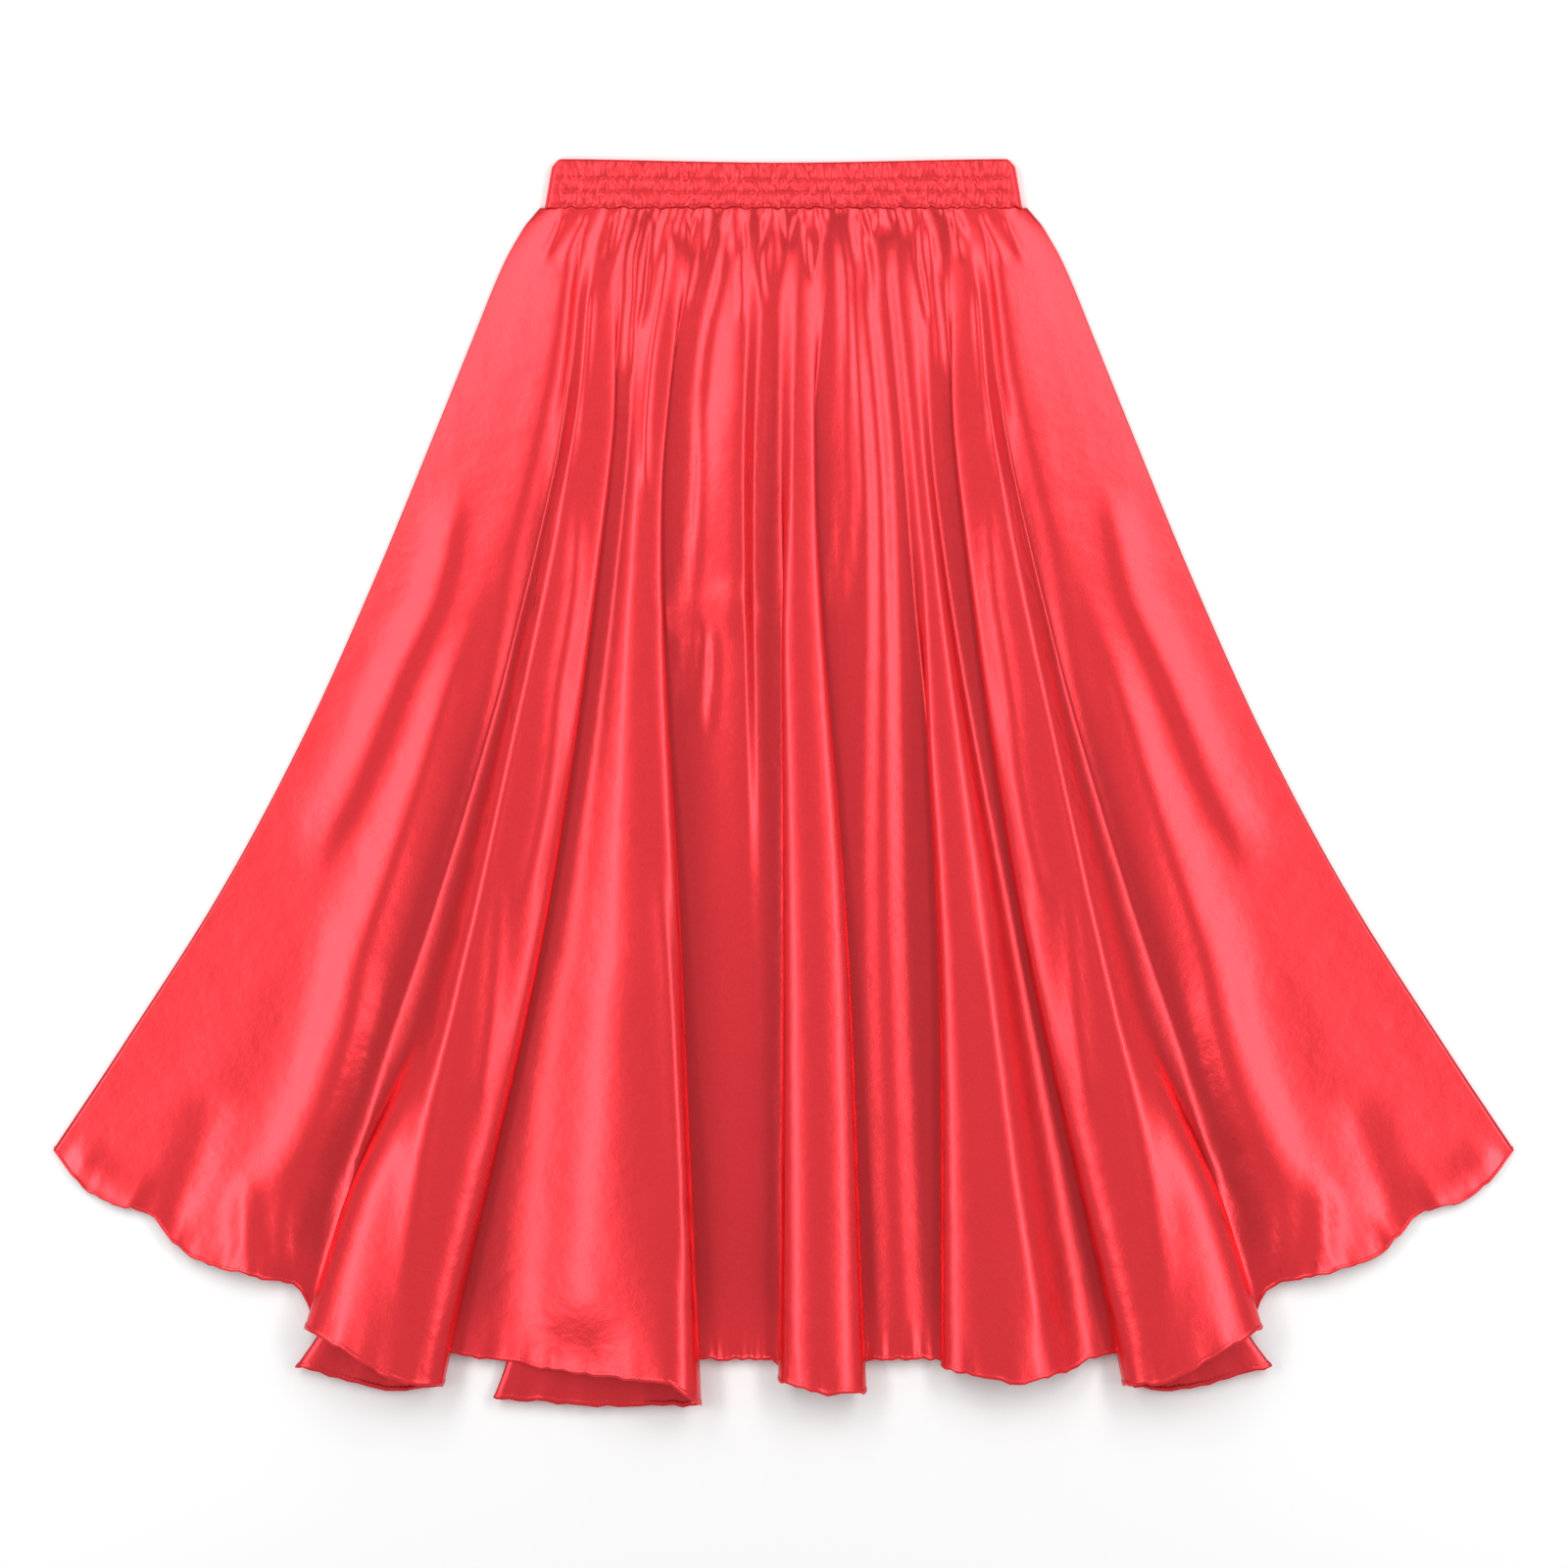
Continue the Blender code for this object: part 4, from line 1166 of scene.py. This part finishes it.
def thread_material(name, colour):
    """Spun polyester thread: matter than the satin, with a soft twist that shows as fine slanted ribs."""
    values = {"Base Color": (*colour, 1), "Roughness": 0.55, "Sheen Weight": 0.2}
    material, tree, shader = new_material(name, values)
    place = add_node(tree, "ShaderNodeTexCoord").outputs["Object"]
    twist = add_node(
        tree,
        "ShaderNodeTexWave",
        {"bands_direction": "DIAGONAL"},
        values={"Scale": 1 / TWIST_WIDTH, "Distortion": 1.0},
        links={"Vector": place},
    )
    tree.links.new(add_bump(tree, twist.outputs["Fac"], 0.4, TWIST_DEPTH), shader.inputs["Normal"])
    return material


def finish_cloth(made, node):
    """Gives a piece its satin, and its place in the frame."""
    made.data.materials.append(satin_material(SATINS[node], bpy.context.scene.skirt_colours.satin))
    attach(made, BODY)
    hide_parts(node)


def stitch_tree(sizes, material):
    """Geometry nodes that lay stitches along the edges of a mesh: one slim bead at each pitch."""
    tree = bpy.data.node_groups.new("lockstitches", "GeometryNodeTree")
    tree.interface.new_socket(name="Line", in_out="INPUT", socket_type="NodeSocketGeometry")
    for name, size in sizes.items():
        socket = tree.interface.new_socket(name=name, in_out="INPUT", socket_type="NodeSocketFloat")
        socket.default_value = size
    tree.interface.new_socket(name="Stitches", in_out="OUTPUT", socket_type="NodeSocketGeometry")
    given = add_node(tree, "NodeGroupInput").outputs
    line = add_node(tree, "GeometryNodeMeshToCurve", links={"Mesh": given["Line"]})
    points = add_node(
        tree,
        "GeometryNodeResampleCurve",
        {"mode": "LENGTH"},
        links={"Curve": line.outputs["Curve"], "Length": given["Pitch"]},
    )
    bead = add_node(tree, "GeometryNodeMeshUVSphere", values={"Segments": 6, "Rings": 4, "Radius": 0.5})
    tangent = add_node(tree, "GeometryNodeInputTangent").outputs["Tangent"]
    turned = add_node(tree, "FunctionNodeAlignRotationToVector", {"axis": "Z"}, links={"Vector": tangent})
    drawn = {"Min": STITCH_LENGTHS[0], "Max": STITCH_LENGTHS[1], "Seed": STITCH_SEED}
    uneven = add_node(tree, "FunctionNodeRandomValue", values=drawn)
    length = add_node(
        tree,
        "ShaderNodeMath",
        {"operation": "MULTIPLY"},
        links={0: given["Length"], 1: uneven.outputs["Value"]},
    )
    scale = add_node(
        tree,
        "ShaderNodeCombineXYZ",
        links={"X": given["Thickness"], "Y": given["Thickness"], "Z": length.outputs[0]},
    )
    placed = add_node(
        tree,
        "GeometryNodeInstanceOnPoints",
        links={
            "Points": points.outputs["Curve"],
            "Instance": bead.outputs["Mesh"],
            "Rotation": turned.outputs["Rotation"],
            "Scale": scale.outputs["Vector"],
        },
    )
    real = add_node(tree, "GeometryNodeRealizeInstances", links={"Geometry": placed.outputs["Instances"]})
    smoothed = add_node(tree, "GeometryNodeSetShadeSmooth", links={"Geometry": real.outputs["Geometry"]})
    coloured = add_node(
        tree,
        "GeometryNodeSetMaterial",
        values={"Material": material},
        links={"Geometry": smoothed.outputs["Geometry"]},
    )
    add_node(tree, "NodeGroupOutput", links={"Stitches": coloured.outputs["Geometry"]})
    return tree


def make_stitches(name, lines, closed=False):
    """Stitches along lines of points in millimetres, as one plain mesh. None reaches below the surface."""
    sewing, colours = bpy.context.scene.skirt_sewing, bpy.context.scene.skirt_colours
    mesh = bpy.data.meshes.new(name + "_lines")
    points, edges = [], []
    for line in lines:
        numbers = np.arange(len(line)) + len(points)
        edges += list(zip(numbers[:-1], numbers[1:]))
        if closed:
            edges.append((numbers[-1], numbers[0]))
        line[:, 2] = np.maximum(line[:, 2], 0.5 * sewing.thickness / MM)
        points += [tuple(point) for point in line * MM]
    mesh.from_pydata(points, edges, [])
    guide = piece(name + "_guide", mesh)
    sizes = {"Pitch": sewing.pitch, "Length": sewing.length, "Thickness": sewing.thickness}
    modifier = guide.modifiers.new("stitches", "NODES")
    modifier.node_group = stitch_tree(sizes, thread_material(name + "_thread", colours.thread))
    for item in modifier.node_group.interface.items_tree:
        if item.name in sizes:
            modifier[item.identifier] = sizes[item.name]
    evaluated = guide.evaluated_get(bpy.context.evaluated_depsgraph_get())
    made = piece(name, bpy.data.meshes.new_from_object(evaluated))
    made.data.name = name
    bpy.data.objects.remove(guide)
    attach(made, BODY)


def length_setting(name, about, default, least):
    """A length among the settings, in metres."""
    return FloatProperty(name=name, description=about, default=default, min=least, unit="LENGTH")


def colour_setting(name, about, code):
    """A colour among the settings, from an sRGB hex value."""
    return FloatVectorProperty(name=name, description=about, default=hex_colour(code), subtype="COLOR")


class SkirtCloth(PropertyGroup):
    """Sizes of the satin and of its mesh."""

    thickness: length_setting("Thickness", "Thickness of the satin", 0.5 * MM, 0.1 * MM)
    step: length_setting("Column step", "Widest gap between columns", 6.2 * MM, MM)
    front_rows: IntProperty(name="Front rows", description="Rows of the front's mesh", default=106, min=20)
    back_rows: IntProperty(name="Back rows", description="Rows of the back's mesh", default=100, min=20)


class SkirtSewing(PropertyGroup):
    """Sizes of the stitches."""

    pitch: length_setting("Pitch", "From one stitch to the next", 3.0 * MM, MM)
    length: length_setting("Length", "Length of a stitch", 2.2 * MM, 0.1 * MM)
    thickness: length_setting("Thickness", "Thickness of the thread", 0.6 * MM, 0.1 * MM)


class SkirtColours(PropertyGroup):
    """Colours of the skirt and its floor."""

    satin: colour_setting("Satin", "Colour of the satin", "F0373F")
    thread: colour_setting("Thread", "Colour of the sewing thread", "D2262F")
    floor: colour_setting("Floor", "Colour of the floor", "FAFAFA")


class SkirtStage(PropertyGroup):
    """Camera and even light."""

    height: length_setting("Camera height", "Height of the camera", 10.0, 1.0)
    view: length_setting("View", "Width of the picture at the cloth", 1.024, 0.1)
    sky: FloatProperty(name="Sky", description="Strength of the even light", default=0.54, min=0.0)


class SKIRT_OT_back(Operator):
    """Makes the back panel, which lies on the surface in flat knife pleats"""

    bl_idname = "skirt.back"
    bl_label = "Back panel"

    def execute(self, context):
        _, surface = panel_surfaces(context.scene.skirt_cloth)
        made = shell("skirt_back_cloth", surface.grid, surface.half)
        store_painted_shade(made, surface.deep)
        finish_cloth(made, "skirt_back")
        return {"FINISHED"}


class SKIRT_OT_front(Operator):
    """Makes the front panel with its flutes, wings, gathers and creases"""

    bl_idname = "skirt.front"
    bl_label = "Front panel"

    def execute(self, context):
        surface, _ = panel_surfaces(context.scene.skirt_cloth)
        made = shell("skirt_front_cloth", surface.grid, surface.half)
        store_painted_shade(made, surface.deep)
        finish_cloth(made, "skirt_front")
        return {"FINISHED"}


class SKIRT_OT_waistband(Operator):
    """Makes the shirred waistband"""

    bl_idname = "skirt.waistband"
    bl_label = "Waistband"

    def execute(self, context):
        grid, down, deep = band_grid()
        around = np.linalg.norm(np.diff(grid[0], axis=0), axis=1)
        u = np.concatenate([[0], np.cumsum(around)])
        v = -np.concatenate([[0], np.cumsum(np.abs(np.diff(down)))])
        made = tube_shell("waistband_casing", grid, u, v)
        store_painted_shade(made, deep)
        finish_cloth(made, "waistband")
        return {"FINISHED"}


class SKIRT_OT_hem_stitches(Operator):
    """Makes the stitching that holds the rolled hem of each panel"""

    bl_idname = "skirt.hem_stitches"
    bl_label = "Hem stitches"

    def execute(self, context):
        row = HEM_STITCH_ROW - len(HEM_ROLL)
        lift = HEM_ROLL[HEM_STITCH_ROW].half + STITCH_PROUD
        surfaces = panel_surfaces(context.scene.skirt_cloth)
        for name, surface in zip(("front_hem_stitches", "back_hem_stitches"), surfaces):
            lines = [raised(surface.grid, row, side * lift) for side in (-1, 1)]
            make_stitches(name, lines)
        return {"FINISHED"}


class SKIRT_OT_band_stitches(Operator):
    """Makes the three rows of stitching that shirr the waistband"""

    bl_idname = "skirt.band_stitches"
    bl_label = "Band stitches"

    def execute(self, context):
        grid, down, _ = band_grid()
        lines = [grid[int(np.argmin(np.abs(down[:BAND_FACE_ROWS] - row)))] for row in BAND_STITCH_ROWS]
        for line in lines:
            line[:, 2] += STITCH_PROUD * np.sign(line[:, 2] - BAND_MIDDLE)
        make_stitches("band_stitches", lines, closed=True)
        return {"FINISHED"}


class SKIRT_OT_stage(Operator):
    """Makes the floor, the lights and the camera above"""

    bl_idname = "skirt.stage"
    bl_label = "Stage"

    def execute(self, context):
        scene, stage = context.scene, context.scene.skirt_stage
        mesh = bpy.data.meshes.new("floor")
        signs = ((-1, -1), (1, -1), (1, 1), (-1, 1))
        corners = [(x * FLOOR_REACH, y * FLOOR_REACH, FLOOR_LEVEL) for x, y in signs]
        mesh.from_pydata(corners, [], [(0, 1, 2, 3)])
        # Matt backdrop paper: it takes soft shadows and mirrors nothing
        paper = {"Base Color": (*scene.skirt_colours.floor, 1), "Roughness": 0.9, "Specular IOR Level": 0.1}
        mesh.materials.append(new_material("matte_backdrop_paper", paper)[0])
        piece("floor", mesh)
        world = bpy.data.worlds.new("studio")
        world.use_nodes = True
        background = world.node_tree.nodes["Background"]
        background.inputs["Color"].default_value = (1, 1, 1, 1)
        background.inputs["Strength"].default_value = stage.sky
        scene.world = world
        for softbox in SOFTBOXES:
            for side in (-1, 1):
                data = bpy.data.lights.new(softbox.name, "AREA")
                data.shape = "RECTANGLE"
                data.size, data.size_y = softbox.size
                data.energy = softbox.radiance * math.pi * data.size * data.size_y
                light = bpy.data.objects.new(softbox.name, data)
                x, y, z = softbox.place
                light.location = (side * x, y, z)
                scene.collection.objects.link(light)
        camera_data = bpy.data.cameras.new("camera")
        camera_data.sensor_width = SENSOR_WIDTH
        camera_data.lens = SENSOR_WIDTH * (stage.height - FRONT_LEVEL * MM) / stage.view
        camera_data.clip_end = CAMERA_END
        camera = bpy.data.objects.new("camera", camera_data)
        camera.location = (*CAMERA_SHIFT, stage.height)
        scene.collection.objects.link(camera)
        scene.camera = camera
        scene.view_settings.view_transform = "Standard"
        return {"FINISHED"}


class SKIRT_PT_sidebar(Panel):
    """Lists the skirt's sizes and its operators"""

    bl_label = "Circle skirt"
    bl_idname = "SKIRT_PT_sidebar"
    bl_space_type = "VIEW_3D"
    bl_region_type = "UI"
    bl_category = "Skirt"

    def draw(self, context):
        for group in GROUPS:
            settings = getattr(context.scene, group)
            for name in settings.__annotations__:
                self.layout.prop(settings, name)
        for operator in OPERATORS:
            self.layout.operator(operator.bl_idname)


GROUPS = {
    "skirt_cloth": SkirtCloth,
    "skirt_sewing": SkirtSewing,
    "skirt_colours": SkirtColours,
    "skirt_stage": SkirtStage,
}
OPERATORS = (
    SKIRT_OT_back,
    SKIRT_OT_front,
    SKIRT_OT_waistband,
    SKIRT_OT_hem_stitches,
    SKIRT_OT_band_stitches,
    SKIRT_OT_stage,
)


def register():
    for kind in (*GROUPS.values(), *OPERATORS, SKIRT_PT_sidebar):
        bpy.utils.register_class(kind)
    for name, kind in GROUPS.items():
        setattr(bpy.types.Scene, name, PointerProperty(type=kind))


def unregister():
    for name in GROUPS:
        delattr(bpy.types.Scene, name)
    for kind in reversed((*GROUPS.values(), *OPERATORS, SKIRT_PT_sidebar)):
        bpy.utils.unregister_class(kind)


def main():
    register()
    bpy.ops.skirt.back()
    bpy.ops.skirt.front()
    bpy.ops.skirt.waistband()
    bpy.ops.skirt.hem_stitches()
    bpy.ops.skirt.band_stitches()
    bpy.ops.skirt.stage()


if __name__ == "__main__":
    main()
